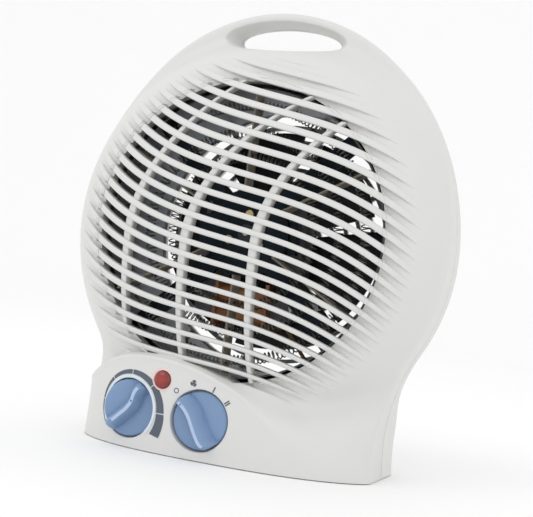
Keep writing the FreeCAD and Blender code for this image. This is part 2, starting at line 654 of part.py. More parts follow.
def bearing_bracket(y0, y1, core_y):
    """Pressed bar across the core that carries one bearing."""
    bar = block(-29, 29, y0, y1, CENTRE_Z - 9, CENTRE_Z + 9)
    bar = bar.fuse(rod_y(14, y0, y1))
    for side in (-1, 1):
        bar = bar.fuse(rod_y(4, min(y0, core_y), max(y1, core_y), side * 23))
    bar = bar.cut(rod_y(5.0, y0 - 1, y1 + 1))
    holes = [rod_y(SCREW_SHANK, -30, -21, *polar(MOUNT_SCREW_CIRCLE, a)) for a in MOUNT_SCREW_ANGLES]
    return bar.cut(Part.makeCompound(holes)) if y0 < core_y else bar


def bearing_bush(y0, y1):
    """Sintered bush that the shaft runs in."""
    return tube_y(5.0, BUSH_BORE, y0, y1)


def fan_impeller():
    """Six broad pitched blades on a hub."""
    hub = turned([(0, FAN_Y - 8), (9, FAN_Y - 8), (11, FAN_Y - 5), (11, FAN_Y + 6), (0, FAN_Y + 6)])
    blades = []
    for i in range(BLADES):
        blade = block(9, FAN_RADIUS + 4, FAN_Y - 0.7, FAN_Y + 0.7, CENTRE_Z - 34, CENTRE_Z + 34)
        blade.rotate(Vector(0, FAN_Y, CENTRE_Z), Vector(1, 0, 0), -17)
        sector = Part.Face(Part.makePolygon(
            [Vector(0, -10, CENTRE_Z)]
            + [Vector(90 * math.cos(math.radians(a)), -10, CENTRE_Z + 90 * math.sin(math.radians(a)))
               for a in (-27, 0, 27)] + [Vector(0, -10, CENTRE_Z)])).extrude(Vector(0, 60, 0))
        blade = blade.common(sector).common(rod_y(FAN_RADIUS, -10, 45))
        blade.rotate(Vector(0, 0, CENTRE_Z), Vector(0, 1, 0), 360.0 / BLADES * i + 15)
        blades.append(blade)
    return fuse_all([hub] + blades).cut(rod_y(SHAFT_RADIUS, -50, 60))


def rotor():
    """Laminated squirrel-cage rotor with its end rings."""
    body = tube_y(12.9, SHAFT_RADIUS, -18, 0)
    return fuse_all([body, tube_y(11.5, 6.0, -20, -18), tube_y(11.5, 6.0, 0, 2)])


def motor_shaft():
    """Steel shaft from the front bush to the fan's hub."""
    return rod_y(SHAFT_RADIUS, -31, FAN_Y + 8)


def fan_clip():
    """Push-on clip that keeps the fan on the shaft."""
    return tube_y(5.5, SHAFT_RADIUS, FAN_Y + 6, FAN_Y + 7)


def thermal_cutout():
    """Self-resetting disc cut-out on an arm of the motor's spider."""
    x, z = polar(52, -45)
    can = rod_y(7.5, HUB_FACE_Y + 2, HUB_FACE_Y + 8, x, z)
    cap = rod_y(6.2, HUB_FACE_Y + 8, HUB_FACE_Y + 11, x, z)
    tabs = [block(x + side * 4.6 - 2, x + side * 4.6 + 2, HUB_FACE_Y + 10, HUB_FACE_Y + 16,
                  z - 0.4, z + 0.4) for side in (-1, 1)]
    return fuse_all([can, cap] + tabs)


def thermal_fuse():
    """One-shot fuse with its two leads, clipped to the spider."""
    x, z = polar(50, 225)
    body = Part.makeCylinder(2.0, 11, Vector(x - 5.5, HUB_FACE_Y + 4, z), Vector(1, 0, 0))
    leads = Part.makeCylinder(0.5, 23, Vector(x - 11.5, HUB_FACE_Y + 4, z), Vector(1, 0, 0))
    return body.fuse(leads)


def terminal_block():
    """Three-way terminal block on the base plate."""
    z0 = PLATE_Z + PLATE_THICK
    body = block(TERMINAL_X - 13, TERMINAL_X + 13, 26, 40, z0, z0 + 4)
    for i in (-1, 0, 1):
        x = TERMINAL_X + 8.5 * i
        body = body.fuse(block(x - 3.6, x + 3.6, 26, 40, z0, z0 + 13))
        body = body.cut(Part.makeCylinder(1.5, 20, Vector(x, 22, z0 + 6), Vector(0, 1, 0)))
        body = body.cut(rod_z(1.5, z0 + 8, z0 + 15, x, 30)).cut(rod_z(1.5, z0 + 8, z0 + 15, x, 36))
    return body


def cord_inlet_bush():
    """Bush in the heel where the mains lead would enter."""
    wall = HALF_DEPTH - 3.3
    bush = tube_y(CORD_HOLE_RADIUS, 3.6, wall, HALF_DEPTH, CORD_X, CORD_Z)
    collar = tube_y(CORD_HOLE_RADIUS + 1.5, 3.6, wall - 3, wall, CORD_X, CORD_Z)
    return bush.fuse(collar)


def bent_wire(points, radius, bend):
    """Insulated wire along straight runs joined by tangent arcs."""
    points = [Vector(*p) for p in points]
    edges, start = [], points[0]
    for before, corner, after in zip(points, points[1:], points[2:]):
        to_start = (before - corner).normalize()
        to_end = (after - corner).normalize()
        half = to_start.getAngle(to_end) / 2
        arc_in, arc_out = corner + to_start * (bend / math.tan(half)), corner + to_end * (
            bend / math.tan(half))
        middle = (to_start + to_end).normalize() * (bend / math.sin(half) - bend)
        edges.append(Part.makeLine(start, arc_in))
        edges.append(Part.Arc(arc_in, corner + middle, arc_out).toShape())
        start = arc_out
    edges.append(Part.makeLine(start, points[-1]))
    path = Part.Wire(edges)
    circle = Part.Wire(Part.Circle(points[0], edges[0].tangentAt(0), radius).toShape())
    return path.makePipeShell([circle], True, False)


def wiring():
    """Three insulated wires inside the foot, from terminal block to controls and motor."""
    z0 = PLATE_Z + PLATE_THICK + 6
    routes = [
        [(TERMINAL_X - 8.5, 25, z0), (TERMINAL_X - 8.5, 6, z0), (14, -4, z0 + 4), (8, -18, z0 + 8)],
        [(TERMINAL_X, 25, z0), (TERMINAL_X, 8, z0), *MOTOR_WIRE, (22, -2, 74)],
        [(-14, -8, 34), (-30, -8, 34), *CUTOUT_WIRE],
    ]
    return group([bent_wire(route, 1.1, 5.0) for route in routes])


PIECES = {
    "front_cover": front_cover,
    "rear_cover": rear_cover,
    "base_plate": base_plate,
    "rubber_feet": rubber_feet,
    "thermostat_knob": lambda: knob(THERMOSTAT_X, THERMOSTAT_FACE_Y, THERMOSTAT_TURN, 1.3),
    "switch_knob": lambda: knob(SWITCH_X, SWITCH_FACE_Y, SWITCH_TURN, -2.0),
    "thermostat_spindle": lambda: spindle(THERMOSTAT_X, THERMOSTAT_FACE_Y, 16.0),
    "switch_spindle": lambda: spindle(SWITCH_X, SWITCH_FACE_Y, 18.0),
    "thermostat_body": lambda: control_body(THERMOSTAT_X, THERMOSTAT_FACE_Y, 13.0, 9.0, 12.0),
    "thermostat_bimetal": thermostat_bimetal,
    "switch_body": lambda: control_body(SWITCH_X, SWITCH_FACE_Y, 14.0, 13.0, 17.0),
    "switch_terminals": switch_terminals,
    "control_screws": control_screws,
    "pilot_lamp_lens": pilot_lamp_lens,
    "neon_lamp": neon_lamp,
    "air_duct": air_duct,
    "duct_screws": duct_screws,
    "heating_coils": heating_coils,
    "mica_supports": mica_supports,
    "thermal_cutout": thermal_cutout,
    "thermal_fuse": thermal_fuse,
    "motor_bracket": motor_bracket,
    "motor_mount_screws": motor_mount_screws,
    "motor_front_plate": lambda: bearing_bracket(-27, -23, -18),
    "motor_rear_plate": lambda: bearing_bracket(5, 8, 0),
    "front_bearing": lambda: bearing_bush(-30, -23),
    "rear_bearing": lambda: bearing_bush(5, 9),
    "stator_core": stator_core,
    "motor_coil": motor_coil,
    "rotor": rotor,
    "motor_shaft": motor_shaft,
    "fan_impeller": fan_impeller,
    "fan_clip": fan_clip,
    "terminal_block": terminal_block,
    "cord_inlet_bush": cord_inlet_bush,
    "wiring": wiring,
    "cover_screws": cover_screws,
    "base_screws": base_screws,
}


def main():
    """Build every piece and write its file."""
    for node, make in PIECES.items():
        save(node, make())


main()
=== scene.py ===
"""Fan convector heater: the finished look of its pieces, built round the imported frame.

Everything is in the frame's own axes: +Z up, the air outlet faces -Y, +X to the viewer's
right.  Shapes are worked out in millimetres and turned into metres as meshes are made.
"""
import sys

import logging
import math
from collections.abc import Callable, Iterable, Sequence
from dataclasses import dataclass, field
from enum import Enum
from typing import Any

import bmesh
import bpy
import numpy as np
from mathutils import Matrix, Vector
from mathutils.geometry import delaunay_2d_cdt
from mathutils.kdtree import KDTree


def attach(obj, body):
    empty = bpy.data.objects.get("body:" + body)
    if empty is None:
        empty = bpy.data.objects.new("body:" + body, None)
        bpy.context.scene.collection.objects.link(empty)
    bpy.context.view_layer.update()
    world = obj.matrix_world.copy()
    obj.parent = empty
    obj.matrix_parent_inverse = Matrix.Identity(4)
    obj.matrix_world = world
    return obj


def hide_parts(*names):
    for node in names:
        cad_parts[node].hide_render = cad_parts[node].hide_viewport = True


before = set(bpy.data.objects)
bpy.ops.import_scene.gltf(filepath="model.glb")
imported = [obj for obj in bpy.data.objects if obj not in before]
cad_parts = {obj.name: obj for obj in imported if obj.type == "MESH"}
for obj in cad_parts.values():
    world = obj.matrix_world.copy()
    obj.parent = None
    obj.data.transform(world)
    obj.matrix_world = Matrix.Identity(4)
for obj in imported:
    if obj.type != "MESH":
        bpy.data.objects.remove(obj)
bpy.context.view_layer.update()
MM = 0.001
Array = np.ndarray
Piece = bpy.types.Object
Sheet = bmesh.types.BMesh
Colour = Triple = tuple[float, float, float]
Cup = tuple[float, float, float, float]  # x, z, radius and floor y of a round hollow
Edge = Callable[[float], Sequence[float]]
Place = Callable[[float, float], Sequence[float]]
Step = Callable[[Vector], Sequence[float]]
log = logging.getLogger("heater")


# ------------------------------------------------------------------ the heater's form
def smoothstep(t: Array | float) -> Array | float:
    """Ease from 0 to 1 as t goes from 0 to 1."""
    t = np.clip(t, 0.0, 1.0)
    return t * t * (3.0 - 2.0 * t)


def smooth_max(a: Any, b: Any, width: float) -> Any:
    """The larger of two heights, with the corner between them rounded."""
    h = np.clip(0.5 + 0.5 * (a - b) / width, 0.0, 1.0)
    return b + (a - b) * h + width * h * (1.0 - h)


def through(knots: Sequence[tuple[float, float]], t: Array) -> tuple[Array, Array]:
    """Height and slope at t of a smooth curve through the knots.

    Args:
        knots: The knots, in rising order.
        t: Where the curve is read.
    Returns:
        Height and slope there.
    """
    at, value = np.array(knots, float).T
    slopes = np.gradient(value, at)
    i = np.clip(np.searchsorted(at, t) - 1, 0, len(at) - 2)
    gap = at[i + 1] - at[i]
    s = np.clip((t - at[i]) / gap, 0.0, 1.0)
    height = ((2 * s ** 3 - 3 * s ** 2 + 1) * value[i]
              + (s ** 3 - 2 * s ** 2 + s) * gap * slopes[i]
              + (3 * s ** 2 - 2 * s ** 3) * value[i + 1] + (s ** 3 - s ** 2) * gap * slopes[i + 1])
    slope = ((6 * s ** 2 - 6 * s) * (value[i] - value[i + 1]) / gap
             + (3 * s ** 2 - 4 * s + 1) * slopes[i] + (3 * s ** 2 - 2 * s) * slopes[i + 1])
    return height, slope


def rounding(distance: Any, radius: float) -> Any:
    """How far a rounded edge has dropped at a distance inside it."""
    inside = np.clip(radius - distance, 0.0, radius)
    return radius - np.sqrt(np.maximum(radius * radius - inside * inside, 0.0))


@dataclass(frozen=True)
class Form:
    """The outer form of the heater, in millimetres.

    Heights are y values: the front faces -Y, so a smaller y stands further forward.

    Attributes:
        slot_rows: The first slot's height, the step to the next and how that step grows.
        slot_curve: The slots' run to the sides: for each power of x, its share in the middle
            of the outlet and how much that changes towards the top.
        crest: Knots of the control panel's upper edge.
    """

    radius: float = 111.0
    centre_z: float = 125.0
    crown: float = 130.0
    half_base: float = 86.0
    waist: float = 110.0
    floor_z: float = 0.5
    rim_y: float = -2.0
    dome: float = 60.0
    dome_power: float = 3.1
    dome_limit: float = 104.0
    plate: float = 6.0
    panel: float = 53.0
    panel_power: float = 2.6
    panel_reach: float = 92.0
    outlet: float = 82.0
    slot_half: float = 2.0
    slot_rows: Triple = (54.8, 6.45, 0.034)
    slot_middle: float = 10.5
    slot_reach: float = 80.0
    slot_curve: tuple[tuple[float, float], ...] = ((-13.2, -4.6), (1.8, 10.2), (-13.0, 0.0))
    sink: float = 0.5
    plate_blend: float = 8.0
    foot_top: float = 76.0
    foot_fade: float = 60.0
    foot_sink: float = 3.0
    foot_blend: float = 12.0
    crest: tuple[tuple[float, float], ...] = (
        (-110, 12), (-100, 22), (-80, 38.5), (-60, 49.5), (-36, 53), (0, 47.5), (22, 38.5),
        (46, 21), (76, 5), (100, 3), (110, 3))

    def waist_centre(self) -> tuple[float, float]:
        """Centre of the concave side's arc, on the right."""
        reach = math.hypot(self.half_base, self.centre_z)
        span = self.radius + self.waist
        along = (span ** 2 - self.waist ** 2 + reach ** 2) / (2.0 * reach)
        across = math.sqrt(span ** 2 - along ** 2)
        ux, uz = self.half_base / reach, -self.centre_z / reach
        return ux * along - uz * across, self.centre_z + uz * along + ux * across

    def outline(self, inset: float) -> Array:
        """Front view's outline from the foot's left end over the top to its right end.

        Args:
            inset: How far inside the outer outline it runs.
        Returns:
            Points of x and z; the same place has the same number at every inset.
        """
        cx, cz = self.waist_centre()
        bow, r = self.waist + inset, self.radius - inset
        join = math.atan2(cz - self.centre_z, cx)
        tangent_z = self.centre_z + r * math.sin(join)
        low = np.linspace(self.floor_z, tangent_z, 50)
        waist = [(cx - math.sqrt(bow ** 2 - (z - cz) ** 2), z) for z in low[:-1]]
        swing = np.linspace(join, 0.0, 32)
        cheek = [(r * math.cos(a), self.centre_z + r * math.sin(a)) for a in swing[:-1]]
        over = np.linspace(0.0, math.pi / 2, 121)
        crown = [(r * math.cos(a), self.centre_z + (self.crown - inset) * math.sin(a))
                 for a in over]
        right = waist + cheek + crown
        left = [(-x, z) for x, z in right[:-1]]
        return np.array(left + right[::-1])

    def half_width(self, z: Array, inset: float) -> Array:
        """Half of the outline's width at each height.

        Args:
            z: Heights over the floor.
            inset: How far inside the outer outline.
        Returns:
            Half widths, 0 over the top.
        """
        side = self.outline(inset)
        side = side[side[:, 0] >= 0][::-1]
        return np.interp(z, side[:, 1], side[:, 0], left=self.half_base, right=0.0)

    def off_axis(self, x: Any, z: Any) -> Any:
        """Distance from the outlet's axis."""
        return np.hypot(x, z - self.centre_z)

    def dome_rise(self, r: Array) -> Array:
        """Height of the domed front over the rim plane at radius r.

        Args:
            r: Distances from the outlet's axis.
        Returns:
            Heights over the rim plane.
        """
        near = np.minimum(r, self.dome_limit) / self.radius
        rise = self.dome * np.sqrt(1.0 - near ** self.dome_power)
        slope = (self.dome ** 2 * self.dome_power * near ** (self.dome_power - 1)
                 / (2 * self.radius * rise))
        return rise - slope * np.maximum(0.0, r - self.dome_limit)

    def panel_rise(self, x: Array) -> Array:
        """Bulge of the control panel in plan."""
        near = np.minimum(np.abs(x) / self.panel_reach, 0.98)
        return self.panel * np.sqrt(1.0 - near ** self.panel_power)

    def crest_at(self, x: Array) -> tuple[Array, Array]:
        """Height and slope of the control panel's upper edge."""
        return through(self.crest, x)

    def over_crest(self, x: Array, z: Array) -> Array:
        """Distance above the control panel's upper edge, below it negative."""
        height, slope = self.crest_at(x)
        return (z - height) / np.sqrt(1.0 + slope ** 2)

    def slot_height(self, k: Array | float, x: Array) -> Array:
        """Height of the middle of slot k at x.

        Args:
            k: The slot's number, from the bottom up.
            x: Place to the right of the middle.
        Returns:
            Height of the slot's middle.
        """
        v = k / self.slot_middle - 1.0
        t = x / self.slot_reach
        first, pitch, spread = self.slot_rows
        middle = first + pitch * k + spread * k * k
        return middle + sum((a + b * v) * t ** (n + 1) for n, (a, b) in enumerate(self.slot_curve))

    def plain_front(self, x: Array, z: Array) -> Array:
        """Front face without panel, grooves or handle.

        Args:
            x: Place to the right of the middle.
            z: Height over the floor.
        Returns:
            The y of the face.
        """
        dome = self.dome_rise(self.off_axis(x, z))
        rise = smooth_max(dome, self.plate, self.plate_blend)
        fade = smoothstep((self.foot_top - z) / self.foot_fade)
        foot = (self.panel_rise(x) - self.foot_sink) * fade
        return self.rim_y - smooth_max(rise, foot, self.foot_blend)

    def panel_face(self, x: Array) -> Array:
        """Front face of the control panel, upright and bowed in plan."""
        return self.rim_y - self.panel_rise(x)


FORM = Form()
THERMOSTAT = (-47.0, 21.6)
SWITCH = (-3.0, 21.6)
LAMP = (-27.1, 40.0)
COLLAR = (*THERMOSTAT, 16.4, 18.0)
COLLAR_RISE = 0.45


# ------------------------------------------------------------------ bench work on meshes
class Bench:
    """The modelling steps that the pieces share."""

    @staticmethod
    def pick(*pieces: Piece) -> None:
        """Select these pieces alone, the first one active."""
        bpy.ops.object.select_all(action="DESELECT")
        for piece in pieces:
            piece.select_set(True)
        bpy.context.view_layer.objects.active = pieces[0]

    @staticmethod
    def settle(piece: Piece, smooth: float = 40.0, merge: float = 1e-6,
               normals: bool = True) -> Piece:
        """Bake the object's place into its mesh, merge doubles, turn faces out, shade.

        Args:
            piece: The piece to settle.
            smooth: Edges flatter than this many degrees are shaded smooth.
            merge: Points closer than this are made one, in metres.
            normals: Whether the faces are turned outwards.
        Returns:
            The same piece.
        """
        Bench.pick(piece)
        bpy.ops.object.transform_apply(location=True, rotation=True, scale=True)
        bpy.ops.object.mode_set(mode="EDIT")
        bpy.ops.mesh.select_all(action="SELECT")
        bpy.ops.mesh.remove_doubles(threshold=merge)
        if normals:
            bpy.ops.mesh.normals_make_consistent(inside=False)
        bpy.ops.mesh.select_all(action="DESELECT")
        bpy.ops.object.mode_set(mode="OBJECT")
        bpy.ops.object.shade_smooth_by_angle(angle=math.radians(smooth))
        return piece

    @staticmethod
    def wrap(name: str, columns: int, rows: int, place: Place,
             smooth: float = 40.0) -> Piece:
        """Lay a grid primitive over a rule.

        Args:
            name: The piece's name.
            columns: Cells along u.
            rows: Cells along v.
            place: Gives a point in millimetres for u and v, both from 0 to 1.
            smooth: Edges flatter than this many degrees are shaded smooth.
        Returns:
            The settled piece.
        """
        bpy.ops.object.select_all(action="DESELECT")
        bpy.ops.mesh.primitive_grid_add(x_subdivisions=columns, y_subdivisions=rows, size=1.0)
        piece = bpy.context.object
        piece.name = piece.data.name = name
        for vertex in piece.data.vertices:
            spot = place(vertex.co.x + 0.5, vertex.co.y + 0.5)
            vertex.co = (spot[0] * MM, spot[1] * MM, spot[2] * MM)
        return Bench.settle(piece, smooth)

    @staticmethod
    def moulding(name: str, columns: int, profile: Sequence[Sequence[float]],
                 place: Callable[..., Sequence[float]]) -> Piece:
        """Carry a profile along a rule.

        Args:
            name: The piece's name.
            columns: Cells along it.
            profile: Rows of numbers, one row for each point of the profile.
            place: Gives a point in millimetres for u and the numbers of one row.
        Returns:
            The settled piece.
        """
        rows = len(profile) - 1
        return Bench.wrap(name, columns, rows,
                          lambda u, v: place(u, *profile[round(v * rows)]))

    @staticmethod
    def join(name: str, pieces: Sequence[Piece]) -> Piece:
        """Make one piece of many, under a new name.

        Args:
            name: The joined piece's name.
            pieces: The pieces, which are used up.
        Returns:
            The joined piece.
        """
        Bench.pick(*pieces)
        if len(pieces) > 1:
            bpy.ops.object.join()
        piece = bpy.context.view_layer.objects.active
        piece.name = piece.data.name = name
        return piece

    @staticmethod
    def modify(piece: Piece, kind: str, **settings: Any) -> Piece:
        """Add a modifier with these settings and apply it.

        Args:
            piece: The piece.
            kind: The modifier's type.
            settings: Its attributes.
        Returns:
            The same piece.
        """
        Bench.pick(piece)
        modifier = piece.modifiers.new(kind.title(), kind)
        for key, value in settings.items():
            setattr(modifier, key, value)
        bpy.ops.object.modifier_apply(modifier=modifier.name)
        return piece

    @staticmethod
    def rod(name: str, radius: float, y0: float, y1: float, x: float, z: float,
            sides: int = 48, bevel: float = 0.3) -> Piece:
        """Round bar along Y with softened ends, sizes in millimetres.

        Args:
            name: The piece's name.
            radius: Its radius.
            y0: Its front end.
            y1: Its rear end.
            x: Place to the right of the middle.
            z: Height over the floor.
            sides: Facets round it.
            bevel: Width of its softened edges.
        Returns:
            The settled piece.
        """
        bpy.ops.object.select_all(action="DESELECT")
        bpy.ops.mesh.primitive_cylinder_add(
            vertices=sides, radius=radius * MM, depth=(y1 - y0) * MM,
            location=(x * MM, (y0 + y1) / 2 * MM, z * MM), rotation=(math.pi / 2, 0, 0))
        piece = bpy.context.object
        piece.name = piece.data.name = name
        Bench.settle(piece)
        Bench.modify(piece, "BEVEL", width=bevel * MM, segments=3, limit_method="ANGLE")
        return Bench.settle(piece)


@dataclass
class Relief:
    """A sheet seen from the front, its points spread over x and z and raised to a y.

    Attributes:
        height: Gives y for arrays of x and z.
        keep: Tells which places belong to the sheet.
        spacing: Gap between the free points.
        lines: Runs of points that mesh edges follow.
    """

    height: Callable[[Array, Array], Array]
    keep: Callable[[Array, Array], Array]
    spacing: float
    lines: list[Array] = field(default_factory=list)

    def circle(self, x: float, z: float, radius: float, gap: float) -> None:
        """Add a closed ring of mesh edges.

        Args:
            x: The ring's middle, to the right.
            z: The ring's middle, upwards.
            radius: Its radius.
            gap: About the length of each edge.
        """
        count = max(12, round(2 * math.pi * radius / gap))
        turn = np.linspace(0, 2 * math.pi, count + 1)
        turn[-1] = 0.0
        self.lines.append(np.stack([x + radius * np.cos(turn), z + radius * np.sin(turn)], 1))

    def mesh(self) -> Sheet:
        """Triangulate the sheet along its lines and raise it.

        Returns:
            The raised sheet in millimetres, its faces towards -Y.
        """
        points: list[Vector] = []
        edges: list[tuple[int, int]] = []
        for line in self.lines:
            start = len(points)
            points += [Vector((float(x), float(z))) for x, z in line]
            edges += [(i, i + 1) for i in range(start, len(points) - 1)]
        tree = KDTree(len(points))
        for i, point in enumerate(points):
            tree.insert((point.x, point.y, 0.0), i)
        tree.balance()
        every = np.concatenate(self.lines)
        low, high = every.min(0), every.max(0)
        for row, z in enumerate(np.arange(low[1], high[1], self.spacing * 0.866)):
            for x in np.arange(low[0] + self.spacing / 2 * (row % 2), high[0], self.spacing):
                if tree.find((x, z, 0.0))[2] > self.spacing * 0.62:
                    points.append(Vector((float(x), float(z))))
        verts, _, faces, *_ = delaunay_2d_cdt(points, edges, [], 0, 1e-4)
        flat = np.array(verts)
        corners = np.array(faces)
        middle = flat[corners].mean(1)
        corners = corners[self.keep(middle[:, 0], middle[:, 1])]
        heights = self.height(flat[:, 0], flat[:, 1])
        made = bmesh.new()
        used = {}
        for i in np.unique(corners):
            used[i] = made.verts.new((flat[i, 0], heights[i], flat[i, 1]))
        for a, b, c in corners:
            made.faces.new((used[a], used[b], used[c]))
        return made


def draw_out(sheet: Sheet, edges: Iterable[bmesh.types.BMEdge],
             steps: Sequence[Step]) -> None:
    """Carry a border of a sheet on, ring after ring.

    Args:
        sheet: The mesh to extend.
        edges: The border's edges.
        steps: Each gives a ring's point from the border's own point.
    """
    ring = list(edges)
    home = {tuple(round(c, 4) for c in v.co): v.co.copy() for e in ring for v in e.verts}
    for step in steps:
        made = bmesh.ops.extrude_edge_only(sheet, edges=ring)["geom"]
        moved = {}
        for vert in (g for g in made if isinstance(g, bmesh.types.BMVert)):
            first = home[tuple(round(c, 4) for c in vert.co)]
            vert.co = Vector(step(first))
            moved[tuple(round(c, 4) for c in vert.co)] = first
        home = moved
        ring = [g for g in made if isinstance(g, bmesh.types.BMEdge)]


def borders(sheet: Sheet,
            test: Callable[[Vector], bool]) -> list[bmesh.types.BMEdge]:
    """The open edges of a sheet whose two ends pass a test."""
    return [e for e in sheet.edges if e.is_boundary and all(test(v.co) for v in e.verts)]


def to_piece(sheet: Sheet, name: str, smooth: float = 40.0) -> Piece:
    """Turn a sheet in millimetres into a settled piece, faces towards -Y.

    Args:
        sheet: The sheet, which is used up.
        name: The piece's name.
        smooth: Edges flatter than this many degrees are shaded smooth.
    Returns:
        The settled piece.
    """
    bmesh.ops.remove_doubles(sheet, verts=sheet.verts, dist=1e-4)
    bmesh.ops.recalc_face_normals(sheet, faces=sheet.faces)
    if sum(f.normal.y * f.calc_area() for f in sheet.faces) > 0:
        bmesh.ops.reverse_faces(sheet, faces=sheet.faces)
    bmesh.ops.scale(sheet, vec=(MM, MM, MM), verts=sheet.verts)
    data = bpy.data.meshes.new(name)
    sheet.to_mesh(data)
    sheet.free()
    piece = bpy.data.objects.new(name, data)
    bpy.context.scene.collection.objects.link(piece)
    return Bench.settle(piece, smooth, normals=False)


# ------------------------------------------------------------------ shader expressions
class Signal:
    """A socket's value, so that shader maths reads as plain expressions."""

    def __init__(self, tree: "NodeTree", socket: bpy.types.NodeSocket) -> None:
        """Wrap one output socket of a tree."""
        self.tree, self.socket = tree, socket

    def maths(self, operation: str, *values: Any) -> "Signal":
        """One Math node on these values."""
        return self.tree.node("ShaderNodeMath", {"operation": operation},
                              dict(enumerate(values)))

    def __add__(self, other: Any) -> "Signal":
        """Sum."""
        return self.maths("ADD", self, other)

    def __mul__(self, other: Any) -> "Signal":
        """Product."""
        return self.maths("MULTIPLY", self, other)

    __radd__, __rmul__ = __add__, __mul__


class NodeTree:
    """One material and the method that adds its nodes."""

    def __init__(self, name: str) -> None:
        """Start a material with a Principled shader.

        Args:
            name: The material's name.
        """
        self.material = bpy.data.materials.new(name)
        self.material.use_nodes = True
        self.nodes = self.material.node_tree.nodes
        self.shader = self.nodes["Principled BSDF"]

    def node(self, kind: str, settings: dict[str, Any] | None = None,
             values: dict[str | int, Any] | None = None, output: int = 0) -> Signal:
        """Add a node.

        Args:
            kind: The node's type.
            settings: Attributes that are set first.
            values: A value or a link for each socket, by name or number.
            output: Which output is returned.
        Returns:
            That output, wrapped.
        """
        made = self.nodes.new(kind)
        for key, value in (settings or {}).items():
            setattr(made, key, value)
        for key, value in (values or {}).items():
            self.feed(made.inputs[key], value)
        return Signal(self, made.outputs[output])

    def feed(self, socket: bpy.types.NodeSocket, value: Any) -> None:
        """Give a socket a link or a plain value.

        Args:
            socket: The input.
            value: A signal or a plain value.
        """
        if isinstance(value, Signal):
            self.material.node_tree.links.new(value.socket, socket)
        elif isinstance(value, tuple) and socket.type == "RGBA":
            socket.default_value = (*value, 1.0)
        else:
            socket.default_value = value

    def set(self, **values: Any) -> None:
        """Set the shader's sockets; an underscore stands for a space."""
        for key, value in values.items():
            self.feed(self.shader.inputs[key.replace("_", " ")], value)

    def place(self, scale: Sequence[float] = (1, 1, 1)) -> Signal:
        """The piece's own coordinates, stretched."""
        where = self.node("ShaderNodeTexCoord", output=3)
        return self.node("ShaderNodeMapping", None, {"Vector": where, "Scale": Vector(scale)})

    def noise(self, size: float, detail: float = 3.0,
              stretch: Sequence[float] = (1, 1, 1)) -> Signal:
        """Noise whose lumps are about size millimetres.

        Args:
            size: Width of a lump, in millimetres.
            detail: How many finer layers it has.
            stretch: How much it is squeezed along each axis.
        Returns:
            The noise, from 0 to 1.
        """
        return self.node("ShaderNodeTexNoise", {"noise_dimensions": "3D"},
                         {"Vector": self.place(stretch), "Scale": 1.0 / (size * MM),
                          "Detail": detail})

    def blend(self, factor: Any, first: Any, second: Any) -> Signal:
        """Mix two colours."""
        return self.node("ShaderNodeMix", {"data_type": "RGBA"}, {0: factor, 6: first, 7: second},
                         output=2)

    def bump(self, height: Signal, depth: float) -> Signal:
        """Bump whose full height is depth millimetres."""
        return self.node("ShaderNodeBump", None,
                         {"Height": height, "Strength": 1.0, "Distance": depth * MM})


@dataclass(frozen=True)
class Plastic:
    """Moulded plastic or rubber: a fine texture, faint cloudiness and a soft gloss."""

    colour: Colour
    roughness: float = 0.38
    texture: float = 0.35
    depth: float = 0.012
    cloud: float = 0.03

    def make(self, name: str) -> bpy.types.Material:
        """Build the material.

        Args:
            name: The material's name.
        Returns:
            The finished material.
        """
        tree = NodeTree(name)
        patches = tree.noise(38.0, 2.0)
        grain = tree.noise(self.texture, 2.0)
        darker = tuple(c * (1.0 - self.cloud * 2) for c in self.colour)
        lighter = tuple(min(1.0, c * (1.0 + self.cloud)) for c in self.colour)
        tree.set(Base_Color=tree.blend(patches, darker, lighter),
                 Roughness=grain * 0.10 + patches * 0.08 + (self.roughness - 0.09),
                 Normal=tree.bump(grain, self.depth))
        return tree.material


@dataclass(frozen=True)
class Metal:
    """Sheet, turned or drawn metal, with fine lines along one axis and a dull film."""

    colour: Colour
    roughness: float = 0.35
    lines: Triple = (1, 1, 1)
    scale: float = 0.5
    film: float = 0.25

    def make(self, name: str) -> bpy.types.Material:
        """Build the material.

        Args:
            name: The material's name.
        Returns:
            The finished material.
        """
        tree = NodeTree(name)
        streaks = tree.noise(self.scale, 3.0, self.lines)
        film = tree.noise(14.0, 4.0)
        dull = tuple(c * (1.0 - self.film) for c in self.colour)
        tree.set(Base_Color=tree.blend(film, dull, self.colour),
                 Roughness=streaks * 0.22 + film * 0.12 + (self.roughness - 0.17),
                 Normal=tree.bump(streaks, 0.01))
        tree.shader.inputs["Metallic"].default_value = 1.0
        return tree.material


@dataclass(frozen=True)
class Layers:
    """Stacked sheets or wound wire: fine even bands along one axis."""

    dark: Colour
    light: Colour
    pitch: float
    axis: str
    metallic: float = 0.6
    depth: float = 0.12

    def make(self, name: str) -> bpy.types.Material:
        """Build the material.

        Args:
            name: The material's name.
        Returns:
            The finished material.
        """
        tree = NodeTree(name)
        bands = tree.node("ShaderNodeTexWave", {"bands_direction": self.axis},
                          {"Vector": tree.place(), "Scale": 0.314 / (self.pitch * MM),
                           "Distortion": 0.4, "Detail": 1.0}, output=1)
        patches = tree.noise(6.0)
        tree.set(Base_Color=tree.blend(bands * 0.7 + patches * 0.3, self.dark, self.light),
                 Roughness=patches * 0.2 + 0.35, Normal=tree.bump(bands, self.depth))
        tree.shader.inputs["Metallic"].default_value = self.metallic
        return tree.material


